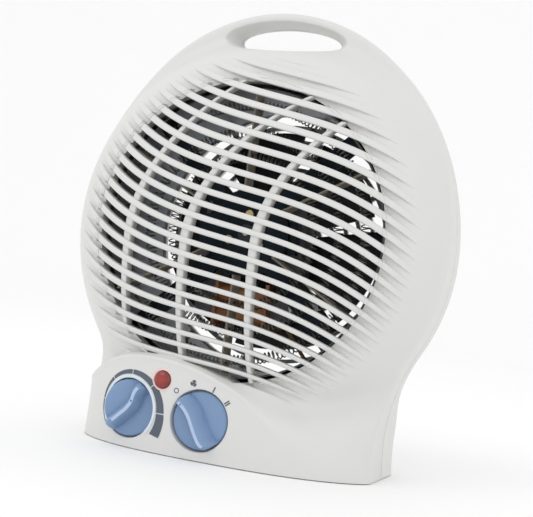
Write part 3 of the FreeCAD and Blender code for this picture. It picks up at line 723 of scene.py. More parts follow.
@dataclass(frozen=True)
class Mica:
    """Flaky mica board with glinting specks; its colours are darkened to near black as painted
    shade.
    """

    # both colours are painted shade: near black for mica sitting in the heater's shadowed inside
    dark: Colour = (0.020, 0.020, 0.020)
    light: Colour = (0.060, 0.060, 0.056)

    def make(self, name: str) -> bpy.types.Material:
        """Build the material.

        Args:
            name: The material's name.
        Returns:
            The finished material.
        """
        tree = NodeTree(name)
        flakes = tree.node("ShaderNodeTexVoronoi", None,
                           {"Vector": tree.place(), "Scale": 700.0}, output=1)
        cloud = tree.noise(5.0)
        tree.set(Base_Color=tree.blend(cloud, self.dark, self.light),
                 Roughness=tree.node("ShaderNodeRGBToBW", None, {0: flakes}) * 0.4 + 0.2,
                 Normal=tree.bump(cloud, 0.08))
        tree.shader.inputs["Specular IOR Level"].default_value = 0.8
        return tree.material


@dataclass(frozen=True)
class Lens:
    """Clear coloured plastic with a lamp's glow behind its middle."""

    colour: Colour
    glow: Colour
    strength: float
    centre: Triple
    reach: float

    def make(self, name: str) -> bpy.types.Material:
        """Build the material.

        Args:
            name: The material's name.
        Returns:
            The finished material.
        """
        tree = NodeTree(name)
        where = tree.node("ShaderNodeTexCoord", output=3)
        away = tree.node("ShaderNodeVectorMath", {"operation": "DISTANCE"},
                         {0: where, 1: tuple(c * MM for c in self.centre)}, output=1)
        edge = tree.node("ShaderNodeMapRange", {"interpolation_type": "SMOOTHSTEP"},
                         {0: away, 1: 0.0, 2: self.reach * MM})
        grain = tree.noise(0.8)
        tree.set(Base_Color=tree.blend(edge, self.colour, tuple(c * 0.55 for c in self.colour)),
                 Emission_Color=tree.blend(edge, self.glow, tuple(c * 0.3 for c in self.glow)),
                 Roughness=grain * 0.06 + 0.05, Normal=tree.bump(grain, 0.01))
        tree.shader.inputs["Emission Strength"].default_value = self.strength
        tree.shader.inputs["Coat Weight"].default_value = 0.6
        return tree.material


class Finish(Enum):
    """Every finish on the heater; the value gives how it is made."""

    SHELL = Plastic((0.675, 0.675, 0.662), 0.40, 0.30, 0.006, 0.012)
    COLLAR = Plastic((0.66, 0.73, 0.80), 0.30, 0.30, 0.004, 0.01)
    SEAT = Plastic((0.84, 0.60, 0.56), 0.30, 0.30, 0.004, 0.01)
    KNOB = Plastic((0.195, 0.300, 0.485), 0.38, 0.30, 0.006, 0.03)
    # painted highlight: paler blue for the knobs' crest strips, where light catches the narrow
    # crest
    KNOB_CREST = Plastic((0.42, 0.53, 0.74), 0.34, 0.30, 0.005, 0.02)
    DOT = Plastic((0.10, 0.15, 0.30), 0.4)
    PRINT = Plastic((0.085, 0.105, 0.135), 0.45, 0.2, 0.004, 0.05)
    RUBBER = Plastic((0.022, 0.022, 0.024), 0.75, 0.5, 0.03, 0.1)
    CONTROL = Plastic((0.045, 0.045, 0.048), 0.5, 0.4, 0.015, 0.06)
    FAN = Plastic((0.028, 0.034, 0.042), 0.42, 0.4, 0.012, 0.08)
    TERMINAL = Plastic((0.70, 0.69, 0.64), 0.45, 0.4, 0.012, 0.05)
    WIRE_COVER = Plastic((0.30, 0.045, 0.04), 0.5, 0.6, 0.01, 0.08)
    STEEL = Metal((0.56, 0.56, 0.56), 0.34, (1, 6, 1), 0.4)
    DUCT = Metal((0.20, 0.215, 0.235), 0.50, (1, 5, 1), 0.8, 0.3)
    # painted shade: motor bracket and plates darkened to near black in the shadowed inside
    DARK_STEEL = Metal((0.030, 0.040, 0.050), 0.50, (1, 5, 1), 0.8, 0.3)
    BRONZE = Metal((0.50, 0.33, 0.16), 0.40)
    # painted shade: front bearing darkened in the shadowed inside
    BLACKED = Metal((0.055, 0.06, 0.065), 0.30)
    BRASS = Metal((0.72, 0.54, 0.24), 0.35)
    NICHROME = Metal((0.30, 0.30, 0.29), 0.34, (1, 1, 1), 0.3, 0.35)
    # painted shade: core laminations and copper winding darkened to near black in the shadowed
    # inside
    LAMINATIONS = Layers((0.03, 0.03, 0.035), (0.14, 0.14, 0.15), 0.5, "Y", 0.8)
    WINDING = Layers((0.020, 0.010, 0.007), (0.060, 0.030, 0.018), 0.4, "X", 0.5)
    # painted shade: mica darkened to near black in the shadowed inside
    MICA = Mica()
    LAMP_LENS = Lens((0.30, 0.013, 0.006), (0.6, 0.03, 0.012), 0.08,
                     (LAMP[0], -57.0, LAMP[1]), 5.4)
    LAMP_GLASS = Lens((0.75, 0.35, 0.2), (1.0, 0.30, 0.08), 1.2, (-26.5, -48.0, 40.0), 8.0)

    def material(self) -> bpy.types.Material:
        """This finish's material, made the first time it is asked for."""
        name = self.name.lower()
        return bpy.data.materials.get(name) or self.value.make(name)


def dress(piece: Piece, finish: Finish) -> Piece:
    """Give a piece one finish all over.

    Args:
        piece: The piece.
        finish: Its finish.
    Returns:
        The same piece.
    """
    if not piece.material_slots:
        piece.data.materials.append(finish.material())
    for slot in piece.material_slots:
        slot.material = finish.material()
    return piece


def fit(piece: Piece, finish: Finish, body: str = "housing",
        replaces: Sequence[str] = ()) -> Piece:
    """Finish a new piece, hang it on its body and report it.

    Args:
        piece: The piece, in its final place.
        finish: Its finish.
        body: The body it moves with.
        replaces: The frame's nodes that it stands for.
    Returns:
        The same piece.
    """
    dress(piece, finish)
    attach(piece, body)
    if replaces:
        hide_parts(*replaces)
    log.info("%-22s %6d faces on %s", piece.name, len(piece.data.polygons), body)
    return piece


# ------------------------------------------------------------------ sub-assemblies
def collar_front(x: Any) -> Any:
    """Front of the raised ring round the thermostat's knob."""
    return FORM.panel_face(x) - COLLAR_RISE


def collar_share(x: Any, z: Any) -> Any:
    """1 on the raised ring, 0 off it; the ring is open at the bottom.

    Args:
        x: Place to the right of the middle.
        z: Height over the floor.
    Returns:
        The share, from 0 to 1.
    """
    cx, cz, _, outer = COLLAR
    r = np.hypot(x - cx, z - cz)
    top = (z - cz) / np.maximum(r, 1e-3)
    return (1.0 - smoothstep((r - outer) / 0.25)) * smoothstep((top + 0.80) / 0.22)


@dataclass
class FrontCover:
    """The white front moulding: domed ring, control panel, hand slot, slats and ribs.

    Attributes:
        bead: The raised edge of the panel: its height, how far it lies below the panel's
            upper edge, and its width.
        lobe_turn: Where the panel's upper edge starts to soften, and over what run.
        lobe_inner, lobe_outer: How wide that edge is below and above its line where it is
            sharp, and how much wider it gets where it is soft.
        mouth, throat: Half width and half height of the hand slot, in front and inside.
        ribs: Each rib's x at the top and at mid-height.
        cup_rings, collar_rings, mouth_rings, crest_runs, slot_runs: How far from each feature
            the mesh's edges run beside it.
    """

    edge: float = 3.0
    seam_y: float = 3.85
    wall: float = 1.8
    spacing: float = 2.0
    seam_gap: float = 0.35
    sink_start: float = 84.0
    sink_run: float = 16.0
    bead: Triple = (0.5, 2.6, 1.3)
    lobe_turn: tuple[float, float] = (4.0, 40.0)
    lobe_inner: tuple[float, float] = (1.7, 3.0)
    lobe_outer: tuple[float, float] = (0.5, 13.0)
    groove_end: float = 99.5
    groove_depth: float = 5.0
    groove_power: float = 1.15
    groove_wall: float = 12.0
    slot_round: float = 1.1
    wall_back: float = -37.0
    mouth: tuple[float, float] = (36.3, 11.0)
    throat: tuple[float, float] = (31.2, 9.3)
    handle_z: float = 239.0
    mouth_power: float = 1.8
    mouth_round: float = 1.3
    slat_depth: float = 6.0
    slat_dive: float = 3.0
    slats: int = 23
    ribs: tuple[tuple[float, float], ...] = ((-6, -60), (42, -24), (74, 16))
    rib_half: float = 2.6
    cups: tuple[Cup, ...] = ((*THERMOSTAT, 16.4, -43.0), (*SWITCH, 16.6, -48.5))
    lens: Cup = (*LAMP, 5.3, -50.0)
    cup_rings: tuple[float, ...] = (0.0, 0.08, 0.25, 0.5, 1.2)
    collar_rings: tuple[float, ...] = (-0.4, -0.1, 0.0, 0.25, 0.6)
    mouth_rings: tuple[float, ...] = (1.0, 1.012, 1.03, 1.06)
    crest_runs: tuple[float, ...] = (
        -4.6, -3.4, -2.6, -1.7, -1.3, -0.9, -0.5, -0.15, 0.12, 0.35, 0.6, 1.6, 3.2, 6.0)
    slot_runs: tuple[float, ...] = (0.0, 1.5, 1.85, 2.0, 2.12, 2.4, 2.75, 3.1)

    def groove(self, x: Array, z: Array) -> Array:
        """Depth of the grooves that run on from the slots' ends.

        Args:
            x: Place to the right of the middle.
            z: Height over the floor.
        Returns:
            Depths, 0 where there is no groove.
        """
        r = FORM.off_axis(x, z)
        ks = np.arange(-1, 25)[:, None]
        off = np.abs(z[None] - FORM.slot_height(ks, x[None])).min(0)
        reach = FORM.slot_half + self.slot_round
        arc = np.clip((reach - off) / self.slot_round, 0.0, 1.0)
        profile = self.slot_round * (1.0 - np.sqrt(np.maximum(1.0 - arc ** 2, 0.0)))
        profile = profile + np.clip(FORM.slot_half - off, 0.0, None) * self.groove_wall
        ramp = np.clip((self.groove_end - r) / (self.groove_end - FORM.outlet), 0.0, 1.2)
        floor = self.groove_depth * ramp ** self.groove_power
        depth = -smooth_max(-profile, -floor, 0.5)
        blend = smoothstep((FORM.over_crest(x, z) + 0.2) / 0.5)
        return np.clip(depth, 0.0, None) * blend * (r < self.groove_end)

    def mouth_level(self, x: Array, z: Array) -> Array:
        """About the distance outside the hand slot's mouth.

        Args:
            x: Place to the right of the middle.
            z: Height over the floor.
        Returns:
            Distances, below 0 inside the mouth.
        """
        a, b = self.mouth
        p = self.mouth_power

        def level(px: Array, pz: Array) -> Array:
            """The mouth's size through a place, 1 on its edge."""
            return (np.abs(px / a) ** p + np.abs((pz - self.handle_z) / b) ** p) ** (1 / p)

        nudge = 0.05
        across = (level(x + nudge, z) - level(x - nudge, z)) / (2 * nudge)
        up = (level(x, z + nudge) - level(x, z - nudge)) / (2 * nudge)
        return (level(x, z) - 1.0) / np.maximum(np.hypot(across, up), 1e-3)

    def height(self, x: Array, z: Array) -> Array:
        """Front face with every feature on it.

        Args:
            x: Place to the right of the middle.
            z: Height over the floor.
        Returns:
            The y of the face.
        """
        r = FORM.off_axis(x, z)
        base = FORM.plain_front(x, z)
        sunk = FORM.sink * (1.0 - smoothstep((r - self.sink_start) / self.sink_run))
        base = base + sunk + self.groove(x, z)
        over = FORM.over_crest(x, z)
        start, run = self.lobe_turn
        right = smoothstep((x - start) / run)
        inner, outer = (sharp + soft * right for sharp, soft in (self.lobe_inner, self.lobe_outer))
        lobe = 1.0 - smoothstep((over + inner) / (inner + outer))
        high, below, width = self.bead
        bead = high * np.exp(-((over + below) / width) ** 2) * (1.0 - right)
        face = base + (FORM.panel_face(x) - bead - base) * lobe
        face = face + (collar_front(x) - face) * collar_share(x, z)
        for cx, cz, radius, _ in self.cups:
            face = face + rounding(np.hypot(x - cx, z - cz) - radius, 0.5)
        return face + rounding(self.mouth_level(x, z), self.mouth_round)

    def keep(self, x: Array, z: Array) -> Array:
        """Whether a place is part of the moulding rather than an opening.

        Args:
            x: Place to the right of the middle.
            z: Height over the floor.
        Returns:
            True where there is plastic.
        """
        r = FORM.off_axis(x, z)
        solid = np.abs(x) <= FORM.half_width(z, self.edge) + 1e-3
        solid &= (r > FORM.outlet) | (FORM.over_crest(x, z) < 0.35)
        solid &= self.mouth_level(x, z) > 0.0
        for cx, cz, radius, _ in (*self.cups, self.lens):
            solid &= np.hypot(x - cx, z - cz) > radius
        return solid & (z > FORM.floor_z)

    def mouth_ring(self, scale: float = 1.0) -> Array:
        """Points round the hand slot's mouth, closer together at its pointed ends.

        Args:
            scale: The ring's size, 1 on the mouth's edge.
        Returns:
            Points of x and z.
        """
        turn = np.linspace(0.0, 2 * math.pi, 181)[:-1]
        c, s = np.cos(turn), np.sin(turn)
        p = 2.0 / self.mouth_power
        a, b = self.mouth
        return np.stack([a * scale * np.sign(c) * np.abs(c) ** p,
                         self.handle_z + b * scale * np.sign(s) * np.abs(s) ** p], 1)

    def guide_lines(self, sheet: Relief) -> None:
        """Lay mesh edges along every feature of the front.

        Args:
            sheet: The sheet that is worked on.
        """
        rim = FORM.outline(self.edge)
        sheet.lines.append(rim)
        floor = np.arange(rim[0, 0], rim[-1, 0], 1.6)
        floor = np.append(floor, rim[-1, 0])
        sheet.lines.append(np.stack([floor, np.full_like(floor, FORM.floor_z)], 1))
        sheet.circle(0.0, FORM.centre_z, FORM.outlet, 0.9)
        sheet.circle(0.0, FORM.centre_z, FORM.outlet + 0.8, 0.9)
        for cx, cz, radius, _ in (*self.cups, self.lens):
            for off in self.cup_rings:
                sheet.circle(cx, cz, radius + off, 0.8)
        for off in self.collar_rings:
            sheet.circle(*THERMOSTAT, COLLAR[3] + off, 0.8)
        for share in self.mouth_rings:
            ring = self.mouth_ring(share)
            if share > 1.0:
                level = self.mouth_level(ring[:, 0], ring[:, 1])
                ring = ring[level > 0.05]
            sheet.lines.append(np.append(ring, ring[:1], 0))
        xs = np.arange(-86.0, 84.0, 1.2)
        crest, slope = FORM.crest_at(xs)
        for off in self.crest_runs:
            zs = crest + off * np.sqrt(1.0 + slope ** 2)
            room = np.abs(xs) < FORM.half_width(zs, self.edge + 1.0)
            self.add_runs(sheet, xs, zs, room & (zs > FORM.floor_z + 1.0))
        xs = np.arange(-104.0, 104.0, 1.3)
        for k in range(-1, 24):
            for off in self.slot_runs:
                for side in ((-1, 1) if off else (1,)):
                    zs = FORM.slot_height(k, xs) + side * off
                    r = FORM.off_axis(xs, zs)
                    self.add_runs(sheet, xs, zs, (r > 80.6) & (r < self.groove_end)
                                  & (FORM.over_crest(xs, zs) > 0.9))

    @staticmethod
    def add_runs(sheet: Relief, xs: Array, zs: Array, use: Array) -> None:
        """Add the stretches of a line where use holds.

        Args:
            sheet: The sheet that is worked on.
            xs: The line's places to the right.
            zs: The line's heights.
            use: Which of its points are wanted.
        """
        run: list[tuple[float, float]] = []
        for x, z, wanted in zip(xs, zs, use):
            if wanted:
                run.append((x, z))
            if run and (not wanted or x == xs[-1]):
                if len(run) > 1:
                    sheet.lines.append(np.array(run))
                run = []

    def build_shell(self) -> Piece:
        """The ring, panel and foot, with side wall, outlet wall and hand slot."""
        sheet = Relief(self.height, self.keep, self.spacing)
        self.guide_lines(sheet)
        made = sheet.mesh()
        inner, outer = FORM.outline(self.edge), FORM.outline(0.0)
        near = {(round(float(x), 2), round(float(z), 2)): i for i, (x, z) in enumerate(inner)}

        def number(co: Vector) -> int | None:
            """Number of the outline's point that a border point lies on."""
            return near.get((round(co.x, 2), round(co.z, 2)))

        def rim_step(share: float, back: float) -> Step:
            """One ring of the rounded rim or of the side wall.

            Args:
                share: Share of the way round the rounding.
                back: Share of the way from the rounding to the seam.
            Returns:
                The step that makes the ring.
            """
            def step(co: Vector) -> Sequence[float]:
                """The ring's point.

                Args:
                    co: The border's own point.
                Returns:
                    Its x, y and z.
                """
                i = number(co)
                out = outer[i] - inner[i]
                span = float(np.hypot(*out)) or 1.0
                before = inner[i] - out / span * 0.5
                rise = co.y - float(self.height(before[:1], before[1:])[0])
                corner = co.y + min(rise / 0.5, 2.4) * span
                end = corner + self.edge
                if share < 1.0:
                    a, b, c = (1 - share) ** 2, 2 * share * (1 - share), share ** 2
                    reach = b + c
                    y = a * co.y + b * corner + c * end
                else:
                    reach, y = 1.0, end + (self.seam_y - self.seam_gap - end) * back
                x, z = inner[i] + out * reach
                return x, y, max(z, FORM.floor_z)
            return step

        steps = [rim_step(s, 0.0) for s in (0.15, 0.3, 0.45, 0.6, 0.75, 0.88, 1.0)]
        steps += [rim_step(1.0, s) for s in (0.5, 1.0)]

        def lip_step(co: Vector) -> Sequence[float]:
            """The lip at the seam.

            Args:
                co: The border's own point.
            Returns:
                Its x, y and z.
            """
            i = number(co)
            x, z = outer[i] + (inner[i] - outer[i]) * 0.06
            return x, self.seam_y, max(z, FORM.floor_z)

        rim = borders(made, lambda co: number(co) is not None)
        draw_out(made, rim, steps + [lip_step])
        outlet = borders(made, lambda co: FORM.off_axis(co.x, co.z) < FORM.outlet + 0.05
                         and co.y < -20.0 and FORM.over_crest(co.x, co.z) > 0.2)
        draw_out(made, outlet, [lambda co: (co.x, co.y + 0.5, co.z),
                                lambda co: (co.x, self.wall_back, co.z)])

        def mouth_step(share: float) -> Step:
            """One ring of the hand slot, from mouth to throat.

            Args:
                share: Share of the way, from 0 to 1.
            Returns:
                The step that makes the ring.
            """
            def step(co: Vector) -> Sequence[float]:
                """The ring's point.

                Args:
                    co: The border's own point.
                Returns:
                    Its x, y and z.
                """
                x, z = co.x / self.mouth[0], (co.z - self.handle_z) / self.mouth[1]
                size = [m + (t - m) * math.sin(share * math.pi / 2) ** 0.9
                        for m, t in zip(self.mouth, self.throat)]
                return (x * size[0], co.y + (self.seam_y - co.y) * share,
                        self.handle_z + z * size[1])
            return step

        for cx, cz, radius, floor_y in (*self.cups, self.lens):
            self.sink_cup(made, cx, cz, radius, floor_y)
        mouth = borders(made, lambda co: abs(co.x) < 38 and abs(co.z - self.handle_z) < 12.5
                        and co.y < -5)
        draw_out(made, mouth, [mouth_step(i / 10) for i in range(1, 11)])
        piece = to_piece(made, "front_shell", 50.0)
        Bench.modify(piece, "SOLIDIFY", thickness=self.wall * MM, offset=-1.0)
        return Bench.settle(piece, 50.0, normals=False)

    @staticmethod
    def sink_cup(sheet: Sheet, cx: float, cz: float, radius: float,
                 floor_y: float) -> None:
        """Carry a round hole's edge back to a floor and close it.

        Args:
            sheet: The sheet that is worked on.
            cx: The hole's middle, to the right.
            cz: The hole's middle, upwards.
            radius: Its radius.
            floor_y: Where its floor lies.
        """
        edge = borders(sheet, lambda co: abs(math.hypot(co.x - cx, co.z - cz) - radius) < 0.05)

        def step(share: float, y: float) -> Step:
            """A ring at one depth, a share of the hole wide."""
            return lambda co: (cx + (co.x - cx) * share, y, cz + (co.z - cz) * share)

        draw_out(sheet, edge, [step(1.0, floor_y - 0.5), step(0.99, floor_y - 0.12),
                               step(0.96, floor_y), step(0.6, floor_y), step(0.0, floor_y)])

    def slat(self, k: int) -> Piece | None:
        """One bowed slat between slots k and k + 1, its front edges rounded.

        Args:
            k: The lower slot's number.
        Returns:
            The slat, or None where it has no room.
        """
        xs = np.arange(-86.0, 86.0, 0.5)
        low = FORM.slot_height(k, xs) + FORM.slot_half
        high = FORM.slot_height(k + 1, xs) - FORM.slot_half
        nearest = np.minimum(FORM.off_axis(xs, low), FORM.off_axis(xs, high))
        inside = xs[nearest < FORM.outlet + 0.9]
        if len(inside) < 8:
            return None
        start, end = float(inside[0]), float(inside[-1])
        turn = [i / 5 * math.pi / 2 for i in range(6)]
        corner = [(self.slot_round * (1 - math.cos(a)), self.slot_round * (1 - math.sin(a)))
                  for a in turn]
        profile = [(0.0, 0.25, self.slat_depth)]
        profile += [(0.0, shift, depth) for shift, depth in corner]
        profile += [(1.0, -shift, depth) for shift, depth in reversed(corner)]
        profile += [(1.0, -0.25, self.slat_depth), profile[0]]

        def place(u: float, share: float, shift: float, depth: float) -> Sequence[float]:
            """A point of the slat.

            Args:
                u: Share of the way along, from 0 to 1.
                share: Share of the way from its lower to its upper edge.
                shift: How far it is moved upwards from there.
                depth: How far it lies behind the front.
            Returns:
                Its x, y and z.
            """
            x = start + (end - start) * u
            bottom = FORM.slot_height(k, x) + FORM.slot_half
            top = FORM.slot_height(k + 1, x) - FORM.slot_half
            z = bottom + (top - bottom) * share + shift
            r = FORM.off_axis(x, z)
            dive = min(max(r - FORM.outlet + 0.03, 0.0), self.slat_dive)
            return x, float(FORM.rim_y - FORM.dome_rise(r) + FORM.sink + depth + dive), z

        return Bench.moulding(f"slat_{k + 1}", 72, profile, place)

    def build_slats(self) -> Piece:
        """All the slats as one piece."""
        made = [self.slat(k) for k in range(-1, self.slats - 1)]
        return Bench.join("outlet_slats", [piece for piece in made if piece])

    def rib(self, top_x: float, middle_x: float) -> Piece:
        """One upright rib behind the slats.

        Args:
            top_x: Where it leans to at the top.
            middle_x: Where it stands at mid-height.
        Returns:
            The settled rib.
        """
        def bow(z: float) -> float:
            """Where the rib stands at a height."""
            t = (z - 115.0) / 92.0
            return middle_x + (top_x - middle_x) * (t * t if t > 0 else 0.12 * t * t)

        inside = [z for z in np.arange(40.0, 212.0, 0.5)
                  if FORM.off_axis(bow(z), z) < FORM.outlet + 0.6]
        start, end = float(inside[0]), float(inside[-1])
        profile = [(-1.0, 8.5), (-1.0, 3.3), (-0.85, 2.75), (-0.5, 2.5), (0.0, 2.4), (0.5, 2.5),
                   (0.85, 2.75), (1.0, 3.3), (1.0, 8.5), (-1.0, 8.5)]

        def place(u: float, across: float, depth: float) -> Sequence[float]:
            """A point of the rib.

            Args:
                u: Share of the way along, from 0 to 1.
                across: Place over its width, from -1 to 1.
                depth: How far it lies behind the front.
            Returns:
                Its x, y and z.
            """
            z = start + (end - start) * u
            half = self.rib_half * (1.0 - 0.6 * abs(z - FORM.centre_z) / 90.0)
            x = bow(z) + across * half
            return x, float(FORM.rim_y - FORM.dome_rise(FORM.off_axis(x, z)) + depth), z

        return Bench.moulding("rib", 60, profile, place)

    def build(self) -> None:
        """Make every piece of the front."""
        fit(self.build_shell(), Finish.SHELL, replaces=["front_cover"])
        fit(self.build_slats(), Finish.SHELL)
        ribs = [self.rib(top, middle) for top, middle in self.ribs]
        fit(Bench.join("outlet_ribs", ribs), Finish.SHELL)


@dataclass
class Panel:
    """What is printed and let into the control panel."""

    proud: float = 0.12
    ticks: tuple[float, ...] = (-84.0, -42.0, 0.0, 45.0, 90.0)
    scale_start: float = -131.0
    scale_end: float = 126.0
    scale_inner: float = 18.5
    scale_widths: tuple[tuple[float, float], ...] = (
        (-131, 0.35), (-84, 1.0), (-42, 1.8), (0, 2.5), (45, 3.6), (90, 4.7), (126, 6.0))
    scale_slant: float = 5.0
    scale_growth: Triple = (1.1, 88.0, 38.0)
    gap: float = 0.75
    fan_sign: tuple[float, float] = (-8.5, 40.8)
    off_sign: tuple[float, float] = (-18.0, 35.5)
    strokes: tuple[Triple, ...] = ((20.5, 18.7, 0.0), (52.0, 18.9, -0.58), (52.0, 18.9, 0.58))
    lamp_radius: float = 4.85

    def skin(self, name: str, columns: int, rows: int, edge: Edge,
             across: Edge) -> Piece:
        """A thin flat mark that lies on the panel.

        Args:
            name: The mark's name.
            columns: Cells along the mark.
            rows: Cells across it.
            edge: Gives x and z of one long side for u.
            across: Gives x and z of the other long side for u.
        Returns:
            The mark, closed all round.
        """
        def place(u: float, v: float) -> Sequence[float]:
            """A point of the mark.

            Args:
                u: Share of the way along, from 0 to 1.
                v: Share of the way across, from 0 to 1.
            Returns:
                Its x, y and z.
            """
            step = round(v * (rows + 3))
            share = min(max((step - 1) / rows, 0.0), 1.0) if step < rows + 3 else 0.0
            down = step in (0, rows + 2, rows + 3)
            a, b = edge(u), across(u)
            x, z = a[0] + (b[0] - a[0]) * share, a[1] + (b[1] - a[1]) * share
            y = float(FORM.panel_face(x))
            return x, y + (0.25 if down else -self.proud), z

        return Bench.wrap(name, columns, rows + 3, place)

    def ring_part(self, name: str, centre: tuple[float, float], start: float, end: float,
                  inner: Callable[[float], float], outer: Callable[[float], float],
                  columns: int, rows: int = 4, slant: float = 0.0) -> Piece:
        """Part of a flat ring; angles in degrees, clockwise from the top.

        Args:
            name: The mark's name.
            centre: The ring's middle.
            start: Where it starts.
            end: Where it ends.
            inner: Gives its inner radius at an angle.
            outer: Gives its outer radius at an angle.
            columns: Cells along it.
            rows: Cells across it.
            slant: How much sooner its outer side ends.
        Returns:
            The mark.
        """
        def side(radius: Callable[[float], float], short: float) -> Edge:
            """One long side of the mark.

            Args:
                radius: Gives its radius at an angle.
                short: How much sooner it ends.
            Returns:
                The side.
            """
            def at(u: float) -> Sequence[float]:
                """The side's point.

                Args:
                    u: Share of the way along, from 0 to 1.
                Returns:
                    Its x and z.
                """
                angle = start + (end - short - start) * u
                turn = math.radians(angle)
                r = radius(angle)
                return centre[0] + r * math.sin(turn), centre[1] + r * math.cos(turn)
            return at
        return self.skin(name, columns, rows, side(inner, 0.0), side(outer, slant))

    def build_scale(self) -> Piece:
        """The wedge that widens round the thermostat, parted at its ticks."""
        angles, widths = zip(*self.scale_widths)

        def inner(angle: float) -> float:
            """The wedge's inner radius, which grows a little at the hot end."""
            more, start, run = self.scale_growth
            return self.scale_inner + more * float(np.clip((angle - start) / run, 0.0, 1.0))

        def outer(angle: float) -> float:
            """The wedge's outer radius."""
            return inner(angle) + float(np.interp(angle, angles, widths))

        stops = [self.scale_start, *self.ticks, self.scale_end]
        parts = []
        last = len(stops) - 2
        for i, (a, b) in enumerate(zip(stops, stops[1:])):
            a, b = a + (self.gap if i else 0), b - (self.gap if i < last else 0)
            parts.append(self.ring_part("scale_part", THERMOSTAT, a, b, inner, outer, 24,
                                        slant=self.scale_slant if i == last else 0.0))
        return Bench.join("thermostat_scale", parts)

    def build_collar(self) -> Piece:
        """Pale ring round the thermostat's knob, sinking away at the bottom."""
        cx, cz, inner, outer = COLLAR
        profile = [(outer + 0.06, 0.7), (outer + 0.04, 0.0), (outer - 0.12, -0.12),
                   (outer - 0.5, -0.16), (inner + 0.55, -0.16), (inner + 0.15, -0.10),
                   (inner - 0.03, 0.1), (inner - 0.03, 0.9)]

        def place(u: float, radius: float, down: float) -> Sequence[float]:
            """A point of the ring.

            Args:
                u: Share of the way along, from 0 to 1.
                radius: Distance from the knob's axis.
                down: How far it lies behind the front.
            Returns:
                Its x, y and z.
            """
            turn = 2 * math.pi * u
            middle = (inner + outer) / 2
            mx, mz = cx + middle * math.sin(turn), cz + middle * math.cos(turn)
            share = float(collar_share(mx, mz))
            x, z = cx + radius * math.sin(turn), cz + radius * math.cos(turn)
            plain = float(FORM.panel_face(x)) + 0.9
            front = float(collar_front(x)) + down
            return x, plain + (front - plain) * share, z

        return Bench.moulding("dial_collar", 144, profile, place)

    def bar(self, angle: float, distance: float, offset: float) -> Piece:
        """One stroke of a numeral, standing along the radius from the switch.

        Args:
            angle: Degrees clockwise from the top.
            distance: How far its middle is from the switch's axis.
            offset: How far it is moved sideways.
        Returns:
            The mark.
        """
        turn = math.radians(angle)
        out = (math.sin(turn), math.cos(turn))
        side = (math.cos(turn), -math.sin(turn))
        cx, cz = SWITCH

        def at(across: float) -> Edge:
            """One long side of the stroke.

            Args:
                across: How far it is from the middle line.
            Returns:
                The side.
            """
            def point(u: float) -> Sequence[float]:
                """The side's point.

                Args:
                    u: Share of the way along, from 0 to 1.
                Returns:
                    Its x and z.
                """
                r = distance + 3.3 * (u - 0.5)
                return (cx + out[0] * r + side[0] * (offset + across),
                        cz + out[1] * r + side[1] * (offset + across))
            return point
        return self.skin("stroke", 6, 2, at(-0.36), at(0.36))

    def petal(self, angle: float) -> Piece:
        """One blade of the small fan sign.

        Args:
            angle: Degrees clockwise from the top.
        Returns:
            The mark.
        """
        cx, cz = self.fan_sign

        def side(sign: float) -> Edge:
            """One side of the blade.

            Args:
                sign: -1 for the one side and 1 for the other.
            Returns:
                The side.
            """
            def point(u: float) -> Sequence[float]:
                """The side's point.

                Args:
                    u: Share of the way along, from 0 to 1.
                Returns:
                    Its x and z.
                """
                r = 0.4 + 1.55 * u
                turn = math.radians(angle + 18 * u + sign * 53 * math.sin(math.pi * u) ** 0.5)
                return cx + r * math.sin(turn), cz + r * math.cos(turn)
            return point
        return self.skin("petal", 12, 3, side(-1), side(1))

    def build_signs(self) -> Piece:
        """Off, fan, one and two, round the switch."""
        parts = [self.ring_part("off", self.off_sign, 0, 360, lambda _: 1.05, lambda _: 1.5, 40)]
        parts += [self.petal(a) for a in (0, 120, 240)]
        parts.append(self.ring_part("hub", self.fan_sign, 0, 360, lambda _: 0.02,
                                    lambda _: 0.65, 20))
        parts += [self.bar(*stroke) for stroke in self.strokes]
        return Bench.join("switch_signs", parts)

    def build_lamp(self) -> None:
        """Red domed lens in its pale seat."""
        (x, z), radius = LAMP, self.lamp_radius
        front = float(FORM.panel_face(x))

        def turned(u: float, r: float, y: float) -> Sequence[float]:
            """A point turned about the lamp's axis."""
            turn = 2 * math.pi * u
            return x + r * math.cos(turn), front + y, z + r * math.sin(turn)

        dome = [(radius * math.sin(a), -0.1 - 2.4 * math.cos(a))
                for a in (i / 12 * math.pi / 2 for i in range(13))]
        hollow = [(radius, 4.0), (3.9, 4.0), (3.9, 0.8), (0.0, -1.0)]
        lens = Bench.moulding("pilot_lens", 64, dome + hollow, turned)
        fit(lens, Finish.LAMP_LENS, replaces=["pilot_lamp_lens"])
        seat = [(6.1, 0.8), (6.0, -0.15), (5.7, -0.38), (5.3, -0.42), (5.0, -0.25),
                (4.88, 0.2), (4.88, 3.0)]
        fit(Bench.moulding("lamp_seat", 64, seat, turned), Finish.SEAT)

    def build(self) -> None:
        """Make everything on the panel."""
        fit(self.build_scale(), Finish.PRINT)
        fit(self.build_collar(), Finish.COLLAR)
        fit(self.build_signs(), Finish.PRINT)
        self.build_lamp()


